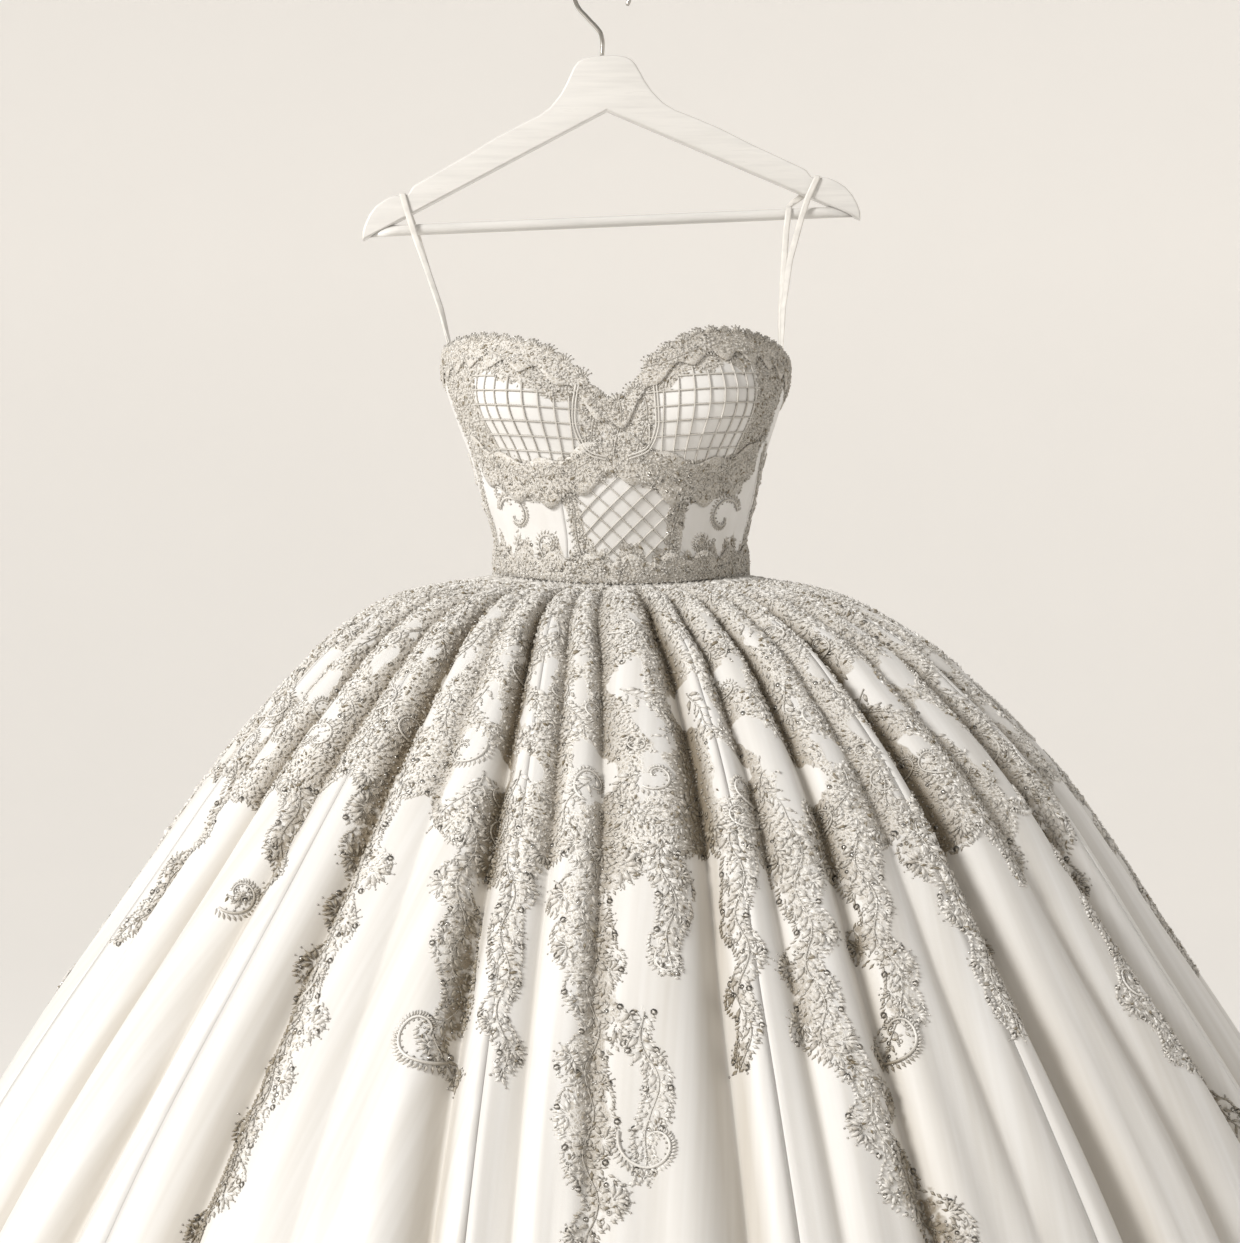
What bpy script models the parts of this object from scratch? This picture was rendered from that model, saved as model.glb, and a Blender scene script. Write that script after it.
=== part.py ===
"""A strapless wedding gown on a wooden hanger, built as the panels a maker cuts and sews.

Lengths are in metres, +Z is up, the front of the gown faces -Y and +X is the viewer's right.
The origin is the point inside the hook's crown that rests on the rail.
"""

import math

import bmesh
import bpy
import numpy as np

# Names of the collections
PART = "wedding_gown"
CUTTERS = "cutters"

# Cloth and seams
GAP = 0.0003
CLOTH = 0.0020
BODICE_CLOTH = 0.0024
LACE = 0.0012
LACE_LIFT = 0.0009
LACE_START = 0.145
BAND_LIFT = 0.0012
RIBBON = 0.0010
RIBBON_WIDTH = 0.0055

# Waist
WAIST_Z = -0.547
WAIST_DIP = 0.010
WAIST_MID_Y = -0.085
FRONT_RATIO = 0.80
WALL_Y = 0.045
HEM_MID_Y = -0.300

# Skirt outline, columns: height, half width, middle x
SKIRT_OUTLINE = (
    (-0.5473, 0.1080, 0.0170),
    (-0.5530, 0.1500, 0.0140),
    (-0.5630, 0.1900, 0.0145),
    (-0.5840, 0.2280, 0.0165),
    (-0.6060, 0.2580, 0.0210),
    (-0.6380, 0.2900, 0.0240),
    (-0.6760, 0.3250, 0.0270),
    (-0.7200, 0.3590, 0.0290),
    (-0.7700, 0.3925, 0.0290),
    (-0.8270, 0.4300, 0.0280),
    (-0.8900, 0.4720, 0.0280),
    (-0.9600, 0.5150, 0.0280),
    (-1.1000, 0.5880, 0.0270),
    (-1.2500, 0.6600, 0.0260),
    (-1.4000, 0.7270, 0.0250),
    (-1.5000, 0.7690, 0.0250),
    (-1.6000, 0.8080, 0.0250),
)

# Distances down the skirt at which a ring of points lies
SKIRT_ROWS = (0.0, 0.033, 0.076, 0.126, 0.185, 0.255, 0.335, 0.425, 0.540, 0.690,
              0.960, 1.299)

# Pleat valleys, columns: angle at the waist, angle at the hem, depth at the hip, depth at the hem (mm)
# Angles are in degrees round the gown from the front, plus towards +X
PLEATS = (
    (-167.0, -167.0, 9.0, 24.0),
    (-155.0, -154.0, 12.0, 30.0),
    (-142.0, -141.0, 9.0, 22.0),
    (-129.0, -128.0, 13.0, 32.0),
    (-116.0, -117.0, 10.0, 24.0),
    (-104.0, -106.0, 13.0, 30.0),
    (-93.0, -96.0, 10.0, 22.0),
    (-82.0, -86.0, 13.0, 28.0),
    (-71.7, -77.5, 12.0, 26.0),
    (-62.1, -68.8, 9.0, 20.0),
    (-52.4, -60.6, 16.0, 34.0),
    (-40.7, -51.4, 13.0, 26.0),
    (-30.9, -37.3, 20.0, 38.0),
    (-24.0, -26.0, 6.0, 8.0),
    (-18.1, -14.2, 20.0, 36.0),
    (-10.7, -8.2, 10.0, 12.0),
    (-4.7, -3.2, 12.0, 5.0),
    (7.3, 8.3, 24.0, 34.0),
    (13.4, 15.4, 14.0, 8.0),
    (21.5, 22.0, 18.0, 30.0),
    (28.1, 31.2, 8.0, 14.0),
    (35.8, 41.9, 28.0, 44.0),
    (45.5, 51.7, 8.0, 18.0),
    (56.8, 61.0, 16.0, 34.0),
    (67.2, 70.3, 10.0, 20.0),
    (77.5, 81.0, 13.0, 28.0),
    (89.0, 91.0, 10.0, 22.0),
    (101.0, 102.0, 13.0, 30.0),
    (113.0, 113.0, 9.0, 22.0),
    (126.0, 125.0, 13.0, 32.0),
    (139.0, 138.0, 10.0, 24.0),
    (153.0, 152.0, 13.0, 30.0),
    (167.0, 167.0, 9.0, 24.0),
)

# Share of a pleat's depth reached down the skirt, columns: distance, share of hip depth, share of hem depth
PLEAT_GROWTH = (
    (0.000, 0.00, 0.00),
    (0.020, 0.20, 0.00),
    (0.060, 0.48, 0.00),
    (0.150, 0.92, 0.00),
    (0.300, 1.00, 0.00),
    (0.600, 0.45, 0.55),
    (0.950, 0.00, 1.00),
    (1.310, 0.00, 1.10),
)

# Places of the columns of points within one pleat, from valley to valley
PLEAT_STEPS = (0.0, 0.2, 0.5, 0.8)

# Gores, columns: name, first pleat, last pleat (seams run down the crests between)
GORES = (
    ("skirt_back_left", -0.5, 2.5),
    ("skirt_side_back_left", 2.5, 5.5),
    ("skirt_side_left", 5.5, 8.5),
    ("skirt_side_front_left", 8.5, 11.5),
    ("skirt_front_left", 11.5, 14.5),
    ("skirt_centre_front", 14.5, 17.5),
    ("skirt_front_right", 17.5, 20.5),
    ("skirt_side_front_right", 20.5, 23.5),
    ("skirt_side_right", 23.5, 26.5),
    ("skirt_side_back_right", 26.5, 29.5),
    ("skirt_back_right", 29.5, 32.5),
)

# Lower edge of the lace on the skirt, columns: angle, distance down the skirt
LACE_EDGE = (
    (-180.0, 0.40), (-172.0, 0.52), (-160.0, 0.36), (-145.0, 0.50), (-130.0, 0.34),
    (-118.0, 0.47), (-105.0, 0.32), (-95.0, 0.42), (-82.0, 0.30), (-66.9, 0.29),
    (-56.3, 0.28), (-47.5, 0.39), (-41.7, 0.31), (-37.8, 0.30), (-34.8, 0.58),
    (-29.9, 0.56), (-27.0, 0.32), (-22.1, 0.34), (-19.1, 0.50), (-15.1, 0.45),
    (-13.2, 0.51), (-10.2, 0.37), (-7.2, 0.36), (-5.2, 0.62), (-1.2, 0.60),
    (0.8, 0.36), (3.8, 0.43), (6.8, 0.35), (9.3, 0.48), (11.9, 0.36),
    (15.9, 0.36), (17.9, 0.50), (21.0, 0.58), (24.0, 0.58), (26.1, 0.48),
    (29.1, 0.36), (34.2, 0.34), (37.3, 0.47), (40.4, 0.36), (48.6, 0.34),
    (54.8, 0.35), (59.9, 0.50), (65.1, 0.54), (69.2, 0.36), (84.0, 0.32),
    (98.0, 0.44), (110.0, 0.33), (122.0, 0.48), (135.0, 0.35), (150.0, 0.50),
    (163.0, 0.36), (172.0, 0.50), (180.0, 0.40),
)

# Bodice sections, columns: height, half width, front y, back y, middle x
BODICE_SECTIONS = (
    (-0.575, 0.1080, -0.1725, 0.0025, 0.0170),
    (-0.547, 0.1080, -0.1725, 0.0025, 0.0170),
    (-0.514, 0.1085, -0.1780, 0.0060, 0.0165),
    (-0.480, 0.1180, -0.1860, 0.0120, 0.0150),
    (-0.445, 0.1265, -0.1890, 0.0200, 0.0140),
    (-0.410, 0.1385, -0.1860, 0.0280, 0.0130),
    (-0.380, 0.1475, -0.1810, 0.0330, 0.0125),
    (-0.335, 0.1450, -0.1720, 0.0360, 0.0125),
)
BODICE_MID_Y = -0.078

# Cups: angle, height, reach in angle and in height, how far they stand out
CUP_ANGLE = 34.0
CUP_Z = -0.404
CUP_WIDE = 21.0
CUP_TALL = 0.040
CUP_OUT = 0.026

# Neckline, columns: angle, height
NECKLINE = (
    (-180.0, -0.415), (-150.0, -0.412), (-120.0, -0.395), (-95.0, -0.362), (-80.0, -0.354),
    (-66.0, -0.351), (-48.0, -0.348), (-33.0, -0.353), (-22.0, -0.361), (-12.0, -0.379),
    (-4.0, -0.402), (5.0, -0.395), (10.0, -0.373), (16.0, -0.360), (24.0, -0.349),
    (36.0, -0.344), (48.0, -0.345), (62.0, -0.351), (85.0, -0.367), (95.0, -0.374),
    (120.0, -0.398), (150.0, -0.413), (180.0, -0.415),
)

# Seam under the cups, carried on round the back as a row of points, columns: angle, height
UNDERBUST = (
    (-180.0, -0.470), (-112.0, -0.445), (-74.0, -0.430), (-60.0, -0.446), (-40.0, -0.462),
    (-24.0, -0.464), (-10.0, -0.452), (0.0, -0.444), (10.0, -0.452), (24.0, -0.464), (40.0, -0.462), (60.0, -0.446),
    (74.0, -0.430), (112.0, -0.445), (180.0, -0.470),
)

# Bodice panels, columns: name, first angle, last angle, lower edge, upper edge
BODICE_PANELS = (
    ("bodice_cup_left", -74.0, 0.0, "underbust", "neckline"),
    ("bodice_cup_right", 0.0, 74.0, "underbust", "neckline"),
    ("bodice_centre_front", -24.0, 24.0, "waist", "underbust"),
    ("bodice_side_front_left", -74.0, -24.0, "waist", "underbust"),
    ("bodice_side_front_right", 24.0, 74.0, "waist", "underbust"),
    ("bodice_side_left", -112.0, -74.0, "waist", "neckline"),
    ("bodice_side_right", 74.0, 112.0, "waist", "neckline"),
    ("bodice_back_left", -180.0, -112.0, "waist", "neckline"),
    ("bodice_back_right", 112.0, 180.0, "waist", "neckline"),
)

# Rows of points up the bodice, shared by the panels that meet, columns: lower edge, upper edge, steps
BODICE_RISES = (("waist", "underbust", 4), ("underbust", "neckline", 5))

# Columns of points round half of the bodice, shared by the panels that meet, columns: to angle, steps
BODICE_STEPS = ((24.0, 4), (74.0, 9), (112.0, 5), (180.0, 8))

# Scallops of the neckline lace
SCALLOP_HIGH = 0.0045
NECK_LACE_DEEP = 0.022
FRONT_SCALLOPS = 33
BACK_SCALLOPS = 22

# Placket
PLACKET_HALF_ANGLE = 4.2

# Hanger, in its own frame: columns across and down from the crown, half of the outline
HANGER_HALF = (
    (0.0000, 0.0000), (0.0110, 0.0003), (0.0190, 0.0018), (0.0240, 0.0048),
    (0.0278, 0.0092), (0.0313, 0.0160), (0.0352, 0.0240), (0.0410, 0.0335),
    (0.0505, 0.0442), (0.0610, 0.0512), (0.0741, 0.0568), (0.1000, 0.0690),
    (0.1267, 0.0840), (0.1500, 0.0960), (0.1731, 0.1080), (0.1760, 0.1100),
    (0.1799, 0.1158), (0.1851, 0.1183), (0.1897, 0.1167), (0.1950, 0.1173),
    (0.2012, 0.1202), (0.2060, 0.1232), (0.2099, 0.1261), (0.2159, 0.1334),
    (0.2200, 0.1416), (0.2223, 0.1489), (0.2222, 0.1555),
)
HANGER_APEX = 0.0491
HANGER_THICK = 0.0130
HANGER_EDGE = 0.0015
HANGER_TILT = math.radians(2.4)
HANGER_X = 0.002
HANGER_Z = -0.080

# Trouser bar
BAR_RADIUS = 0.0050
BAR_DOWN = 0.1477

# Hook
WIRE_RADIUS = 0.0020
HOOK_RADIUS = 0.0250
HOOK_END = -28
HOOK_LEAVE = 228
HOOK_TAIL = ((-0.0107, -0.0480), (-0.0045, -0.0546), (-0.0013, -0.0592), (0.0, -0.0640))

# Ribbon loops, columns: x, y, z and the angle of the ribbon's width from +X towards +Y
LEFT_LOOP = (
    (-0.1285, -0.0885, -0.3800, 90.0),
    (-0.1300, -0.0885, -0.3640, 90.0),
    (-0.1308, -0.0820, -0.3440, 76.0),
    (-0.1400, -0.0580, -0.3120, 36.0),
    (-0.1550, -0.0270, -0.2720, 8.0),
    (-0.1664, -0.0100, -0.2420, 0.0),
    (-0.1740, -0.0084, -0.2180, 0.0),
    (-0.1772, -0.0080, -0.2070, 0.0),
    (-0.1778, -0.0076, -0.2044, 0.0),
    (-0.1780, -0.0060, -0.2032, 0.0),
    (-0.1780, 0.0060, -0.2032, 0.0),
    (-0.1778, 0.0076, -0.2044, 0.0),
    (-0.1772, 0.0080, -0.2070, 0.0),
    (-0.1735, 0.0084, -0.2180, 0.0),
    (-0.1650, 0.0070, -0.2420, 0.0),
    (-0.1540, -0.0120, -0.2760, 12.0),
    (-0.1400, -0.0420, -0.3160, 42.0),
    (-0.1318, -0.0640, -0.3480, 76.0),
    (-0.1308, -0.0700, -0.3640, 90.0),
    (-0.1292, -0.0705, -0.3800, 90.0),
)
RIGHT_LOOP = (
    (0.1522, -0.0885, -0.3930, 90.0),
    (0.1548, -0.0885, -0.3760, 90.0),
    (0.1550, -0.0830, -0.3560, 100.0),
    (0.1580, -0.0580, -0.3120, 138.0),
    (0.1660, -0.0280, -0.2660, 170.0),
    (0.1780, -0.0088, -0.2240, 180.0),
    (0.1840, -0.0084, -0.2060, 180.0),
    (0.1908, -0.0080, -0.1915, 180.0),
    (0.1917, -0.0076, -0.1890, 180.0),
    (0.1919, -0.0060, -0.1878, 180.0),
    (0.1919, 0.0060, -0.1878, 180.0),
    (0.1917, 0.0076, -0.1890, 180.0),
    (0.1900, 0.0080, -0.1915, 180.0),
    (0.1780, 0.0082, -0.2045, 180.0),
    (0.1700, 0.0062, -0.2105, 180.0),
    (0.1672, 0.0012, -0.2142, 180.0),
    (0.1668, -0.0030, -0.2154, 180.0),
    (0.1664, -0.0058, -0.2178, 180.0),
    (0.1660, -0.0068, -0.2215, 180.0),
    (0.1640, -0.0100, -0.2360, 178.0),
    (0.1600, -0.0280, -0.2800, 165.0),
    (0.1562, -0.0500, -0.3220, 136.0),
    (0.1552, -0.0670, -0.3580, 100.0),
    (0.1552, -0.0700, -0.3760, 90.0),
    (0.1528, -0.0705, -0.3930, 90.0),
)

# Materials, columns: colour, roughness, metallic
MATERIALS = {
    "satin": ((0.905, 0.885, 0.850), 0.45, 0.0),
    "lace": ((0.740, 0.705, 0.650), 0.50, 0.0),
    "ribbon": ((0.900, 0.880, 0.845), 0.40, 0.0),
    "painted_wood": ((0.915, 0.905, 0.890), 0.35, 0.0),
    "chrome": ((0.640, 0.620, 0.590), 0.20, 1.0),
}


def clear():
    """Removes every object."""
    for item in list(bpy.data.objects):
        bpy.data.objects.remove(item)


def collection(name):
    """Returns the named collection, made if it is missing."""
    found = bpy.data.collections.get(name)
    if found is None:
        found = bpy.data.collections.new(name)
        bpy.context.scene.collection.children.link(found)
    return found


def material(slot):
    """Returns the material of a slot."""
    found = bpy.data.materials.get(slot)
    if found:
        return found
    colour, rough, metal = MATERIALS[slot]
    made = bpy.data.materials.new(slot)
    made.use_nodes = True
    shader = made.node_tree.nodes["Principled BSDF"]
    shader.inputs["Base Color"].default_value = (*colour, 1.0)
    shader.inputs["Roughness"].default_value = rough
    shader.inputs["Metallic"].default_value = metal
    made.diffuse_color = (*colour, 1.0)
    return made


def add_object(name, mesh, slot, smooth=True):
    """Puts a mesh in the part's collection under its name, with its material."""
    mesh.materials.append(material(slot))
    mesh.polygons.foreach_set("use_smooth", [smooth] * len(mesh.polygons))
    item = bpy.data.objects.new(name, mesh)
    collection(PART).objects.link(item)
    return item


def smooth(places, values, at):
    """Smooth curve through values: a cubic between each two, its slope at each the mean of both sides."""
    gaps = np.diff(places)
    rises = np.diff(values) / gaps
    slopes = np.concatenate([rises[:1], rises[:-1] * gaps[1:] + rises[1:] * gaps[:-1], rises[-1:]])
    slopes[1:-1] /= gaps[1:] + gaps[:-1]
    at = np.clip(at, places[0], places[-1])
    k = np.clip(np.searchsorted(places, at, side="right") - 1, 0, len(gaps) - 1)
    h = gaps[k]
    t = (at - places[k]) / h
    start = values[k] * (1 + 2 * t) * (1 - t) ** 2 + slopes[k] * h * t * (1 - t) ** 2
    return start + values[k + 1] * t * t * (3 - 2 * t) + slopes[k + 1] * h * t * t * (t - 1)


def column(table, index, at):
    """Reads one column of a table at a place in its first column, along straight lines."""
    rows = np.array(table, float)
    return np.interp(at, rows[:, 0], rows[:, index])


def smooth_column(table, index, at):
    """Reads one column of a table at a place in its first column, along a smooth curve."""
    rows = np.array(table, float)
    return smooth(rows[:, 0], rows[:, index], at)


# Skirt surface

def skirt_arc():
    """Distances down the skirt of the rows of its outline."""
    rows = np.array(SKIRT_OUTLINE)
    steps = np.hypot(np.diff(rows[:, 0]), np.diff(rows[:, 1]))
    return np.concatenate([[0.0], np.cumsum(steps)])


def pleat_angle(u, s):
    """Angle round the gown of pleat place u at distance s, straight between two valleys."""
    count = len(PLEATS)
    rows = np.array(PLEATS)
    low = np.floor(u).astype(int)
    part = u - low
    share = np.clip(s / 0.9, 0.0, 1.0)
    turns = np.floor_divide(low, count)
    following = low + 1
    next_turns = np.floor_divide(following, count)
    a = rows[low % count]
    b = rows[following % count]
    start = a[..., 0] * (1 - share) + a[..., 1] * share + 360.0 * turns
    end = b[..., 0] * (1 - share) + b[..., 1] * share + 360.0 * next_turns
    return np.radians(start * (1 - part) + end * part)


def pleat_depth(u, s):
    """How far the cloth lies inside the outline: a sharp valley at whole u, nothing at the crests."""
    rows = np.array(PLEATS)
    near = rows[np.round(u).astype(int) % len(PLEATS)]
    hip = np.interp(s, [r[0] for r in PLEAT_GROWTH], [r[1] for r in PLEAT_GROWTH])
    low = np.interp(s, [r[0] for r in PLEAT_GROWTH], [r[2] for r in PLEAT_GROWTH])
    reach = np.abs(u - np.round(u))
    shape = (1.0 - np.sin(math.pi * reach)) ** 1.4
    return 0.001 * (near[..., 2] * hip + near[..., 3] * low) * shape


def skirt_outline_point(angle, s):
    """Point of the smooth skirt, without pleats: an ellipse in front, flattened against the wall behind."""
    rows = np.array(SKIRT_OUTLINE)
    arc = skirt_arc()
    z = smooth(arc, rows[:, 0], s)
    half = smooth(arc, rows[:, 1], s)
    middle_x = smooth(arc, rows[:, 2], s)
    share = (half - rows[0, 1]) / (rows[-1, 1] - rows[0, 1])
    middle = WAIST_MID_Y + (HEM_MID_Y - WAIST_MID_Y) * share
    turn = np.cos(angle)
    ahead = FRONT_RATIO * half
    behind = np.minimum(FRONT_RATIO * half, WALL_Y - middle)
    y = np.where(turn > 0, middle - ahead * turn, middle + behind * (1 - (1 - np.abs(turn)) ** 1.6))
    x = middle_x + half * np.sin(angle)
    z = z - WAIST_DIP * np.maximum(turn, 0.0) ** 2 * np.exp(-s / 0.10)
    return np.stack([x, y, z], axis=-1)


def unit(vectors):
    """Vectors of length one."""
    return vectors / np.linalg.norm(vectors, axis=-1, keepdims=True)


def skirt_point(u, s):
    """Point of the pleated skirt: the smooth point moved in along the smooth surface's normal."""
    angle = pleat_angle(u, s)
    step_a = 0.01
    step_s = 0.004
    base = skirt_outline_point(angle, s)
    across = skirt_outline_point(angle + step_a, s) - skirt_outline_point(angle - step_a, s)
    down = skirt_outline_point(angle, s + step_s) - skirt_outline_point(angle, np.maximum(s - step_s, 0))
    inward = unit(np.cross(across, down))
    return base + inward * pleat_depth(u, s)[..., None]


def grid_normals(points, across_before, across_after):
    """Outward normals of a grid of points, with a column added on each side for the differences."""
    wide = np.concatenate([across_before[None], points, across_after[None]])
    along = wide[2:] - wide[:-2]
    down = np.gradient(points, axis=1)
    return unit(np.cross(down, along))


def gore_grid(first, last, rows):
    """Points and normals of a gore, its outer columns set back from the seams by half a gap."""
    places = pleat_places(first, last)
    u, s = np.meshgrid(places, np.array(rows), indexing="ij")
    points = skirt_point(u, s)
    before = skirt_point(u[0] - 0.3, s[0])
    after = skirt_point(u[-1] + 0.3, s[-1])
    normals = grid_normals(points, before, after)
    points[0] += unit(points[1] - points[0]) * GAP / 2
    points[-1] += unit(points[-2] - points[-1]) * GAP / 2
    return u, points, normals


def pleat_places(first, last):
    """Places of the columns of a gore, seam to seam."""
    inner = []
    for k in range(math.floor(first), math.ceil(last) + 1):
        inner += [k + step for step in PLEAT_STEPS]
    return np.array([p for p in inner if first - 1e-6 <= p <= last + 1e-6])


# Walls

def wall_from_cells(outer, inner, cells):
    """Closed wall over the wanted cells of a grid: outer faces, inner faces and the rim between."""
    across, down = outer.shape[:2]
    keep = {}
    points = []

    def place(layer, i, j):
        key = (layer, i, j)
        if key not in keep:
            keep[key] = len(points)
            points.append((outer if layer == 0 else inner)[i, j])
        return keep[key]

    faces = []
    for i in range(across - 1):
        for j in range(down - 1):
            if not cells[i, j]:
                continue
            a, b, c, d = (i, j), (i + 1, j), (i + 1, j + 1), (i, j + 1)
            for one, two, three in ((a, c, b), (a, d, c)):
                faces.append((place(0, *one), place(0, *two), place(0, *three)))
                faces.append((place(1, *one), place(1, *three), place(1, *two)))
            sides = ((a, b, i, j - 1), (b, c, i + 1, j), (c, d, i, j + 1), (d, a, i - 1, j))
            for start, end, ni, nj in sides:
                inside = 0 <= ni < across - 1 and 0 <= nj < down - 1 and cells[ni, nj]
                if inside:
                    continue
                quad = (place(0, *start), place(0, *end), place(1, *end), place(1, *start))
                faces.append(quad)
    return np.array(points), faces


def mesh_from(name, points, faces):
    """Mesh with its normals turned out."""
    mesh = bpy.data.meshes.new(name)
    mesh.from_pydata([tuple(p) for p in points], [], faces)
    work = bmesh.new()
    work.from_mesh(mesh)
    bmesh.ops.triangulate(work, faces=work.faces)
    bmesh.ops.recalc_face_normals(work, faces=work.faces)
    work.to_mesh(mesh)
    work.free()
    return mesh


def wall(name, outer, inner, slot, cells=None):
    """Object of a cloth wall between two grids of points."""
    if cells is None:
        cells = np.ones((outer.shape[0] - 1, outer.shape[1] - 1), bool)
    points, faces = wall_from_cells(outer, inner, cells)
    return add_object(name, mesh_from(name, points, faces), slot)


# Skirt and its lace

def build_skirt():
    """Gores of the skirt, pleated into the waist and falling to a plain hem."""
    for name, first, last in GORES:
        _, points, normals = gore_grid(first, last, SKIRT_ROWS)
        wall(name, points, points - normals * CLOTH, "satin")


def lace_cells(u, rows):
    """Cells of a gore that its lace covers, from the waist down to the lace edge."""
    middle_u = (u[1:, 0] + u[:-1, 0]) / 2
    cells = np.zeros((len(middle_u), len(rows) - 1), bool)
    for i, place in enumerate(middle_u):
        for j in range(len(rows) - 1):
            middle = (rows[j] + rows[j + 1]) / 2
            angle = math.degrees(pleat_angle(np.array(place), np.array(middle)))
            angle = (angle + 180.0) % 360.0 - 180.0
            cells[i, j] = j < 2 or (cells[i, j - 1] and middle < column(LACE_EDGE, 1, angle))
    return cells


def build_skirt_lace():
    """Beaded lace on each gore, made from the gore's own points moved out."""
    for name, first, last in GORES:
        rows = SKIRT_ROWS[:10]
        u, points, normals = gore_grid(first, last, rows)
        cells = lace_cells(u, rows)
        points[:, 0] += (points[:, 1] - points[:, 0]) * LACE_START
        lift = LACE_LIFT * np.ones_like(normals)
        inner = points + normals * lift
        outer = points + normals * (lift + LACE)
        wall(name.replace("skirt", "lace"), outer, inner, "lace", cells)


# Bodice

def bodice_point(angle, z):
    """Point of the bodice's outer face: an oval section, with the two cups standing out of it."""
    half, front, back, middle_x = (smooth_column(BODICE_SECTIONS, k, z) for k in (1, 2, 3, 4))
    turn = np.cos(angle)
    depth = np.where(turn > 0, BODICE_MID_Y - front, back - BODICE_MID_Y)
    degrees = np.degrees(np.arctan2(np.sin(angle), turn))
    bump = np.zeros_like(half)
    for side in (-1, 1):
        off = (degrees - side * CUP_ANGLE) / CUP_WIDE
        rise = (z - CUP_Z) / CUP_TALL
        bump = bump + CUP_OUT * np.exp(-off * off - rise * rise)
    x = middle_x + half * np.sin(angle) + bump * np.sin(angle)
    y = BODICE_MID_Y - depth * turn - bump * turn
    return np.stack([x, y, z + 0 * x], axis=-1)


def bodice_normal(angle, z):
    """Outward normal of the bodice."""
    across = bodice_point(angle + 0.01, z) - bodice_point(angle - 0.01, z)
    up = bodice_point(angle, z + 0.002) - bodice_point(angle, z - 0.002)
    return unit(np.cross(across, up))


def edge_height(kind, angle):
    """Height of a named edge of the bodice at an angle in radians."""
    degrees = np.degrees(angle)
    if kind == "waist":
        return WAIST_Z - WAIST_DIP * np.maximum(np.cos(angle), 0.0) ** 2
    table = NECKLINE if kind == "neckline" else UNDERBUST
    return smooth_column(table, 1, degrees)


def bodice_angles(first, last):
    """Shared angles of the columns from one seam to another, in radians."""
    half = [0.0]
    for end, steps in BODICE_STEPS:
        half += list(np.linspace(half[-1], end, steps + 1)[1:])
    around = np.array([-a for a in reversed(half[1:])] + half)
    return np.radians(around[(around > first - 0.01) & (around < last + 0.01)])


def panel_heights(a, low, high):
    """Heights of the rows of a panel, kept back from the seams above and below by half a gap."""
    rows = []
    for lower, upper, steps in BODICE_RISES:
        if lower == "waist" and low != "waist" or upper == "neckline" and high != "neckline":
            continue
        share = np.linspace(0.0, 1.0, steps + 1)[1 if rows else 0:]
        bottom = edge_height(lower, a)[:, None]
        top = edge_height(upper, a)[:, None]
        rows.append(bottom * (1 - share) + top * share)
    z = np.concatenate(rows, axis=1)
    z[:, 0] += 0.0 if low == "waist" else GAP / 2
    z[:, -1] -= 0.0 if high == "neckline" else GAP / 2
    return z


def bodice_panel(name, first, last, low, high):
    """One panel of the bodice, kept back from its seams by half a gap."""
    a = bodice_angles(first, last)
    z = panel_heights(a, low, high)
    angle = np.repeat(a[:, None], z.shape[1], axis=1)
    points = bodice_point(angle, z)
    normals = bodice_normal(angle, z)
    points[0] += unit(points[1] - points[0]) * GAP / 2
    points[-1] += unit(points[-2] - points[-1]) * GAP / 2
    wall(name, points[:, ::-1], (points - normals * BODICE_CLOTH)[:, ::-1], "satin")


def build_bodice():
    """Panels of the bodice."""
    for row in BODICE_PANELS:
        bodice_panel(*row)


def lace_band(name, angles, tops, bottoms, rows):
    """Band of lace on the bodice between two edges, moved out from the panels."""
    share = np.linspace(0.0, 1.0, rows + 1)
    angle = np.repeat(angles[:, None], rows + 1, axis=1)
    z = tops[:, None] * (1 - share) + bottoms[:, None] * share
    points = bodice_point(angle, z)
    normals = bodice_normal(angle, z)
    inner = points + normals * BAND_LIFT
    outer = points + normals * (BAND_LIFT + LACE)
    wall(name, outer, inner, "lace")


def build_neck_lace(name, first, last, scallops, rows):
    """Lace edging of the neckline, its upper edge in scallops."""
    steps = 3
    phase = np.arange(scallops * steps + 1) / steps
    angles = np.radians(first + (last - first) * phase / scallops)
    wave = np.abs(np.sin(math.pi * phase))
    wrapped = np.degrees(np.arctan2(np.sin(angles), np.cos(angles)))
    edge = smooth_column(NECKLINE, 1, wrapped)
    tops = edge + SCALLOP_HIGH * (wave - 0.15)
    bottoms = edge - NECK_LACE_DEEP + 0.004 * np.cos(phase * math.pi)
    lace_band(name, angles, tops, bottoms, rows)


def build_bodice_lace():
    """Lace of the neckline, under the bust and at the waist, and the back placket."""
    build_neck_lace("neck_lace_front", -88.0, 88.0, FRONT_SCALLOPS, 2)
    build_neck_lace("neck_lace_back_left", -175.4, -88.2, BACK_SCALLOPS // 2, 2)
    build_neck_lace("neck_lace_back_right", 88.2, 175.4, BACK_SCALLOPS // 2, 2)
    angles = np.radians(np.linspace(-66.0, 66.0, 33))
    seam = smooth_column(UNDERBUST, 1, np.degrees(angles))
    wave = np.sin(np.arange(33) * math.pi / 2)
    lace_band("underbust_lace", angles, seam + 0.012 + 0.003 * wave, seam - 0.022 - 0.005 * wave, 2)
    waist_lace("waist_lace_left", -175.4, -0.05)
    waist_lace("waist_lace_right", 0.05, 175.4)
    placket()


def waist_lace(name, first, last):
    """Half of the lace band at the waist."""
    angles = np.radians(np.linspace(first, last, 21))
    waist = edge_height("waist", angles)
    wave = 0.004 * np.sin(np.arange(21) * math.pi / 2)
    lace_band(name, angles, waist + 0.024 + wave, waist + 0.0032, 1)


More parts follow.
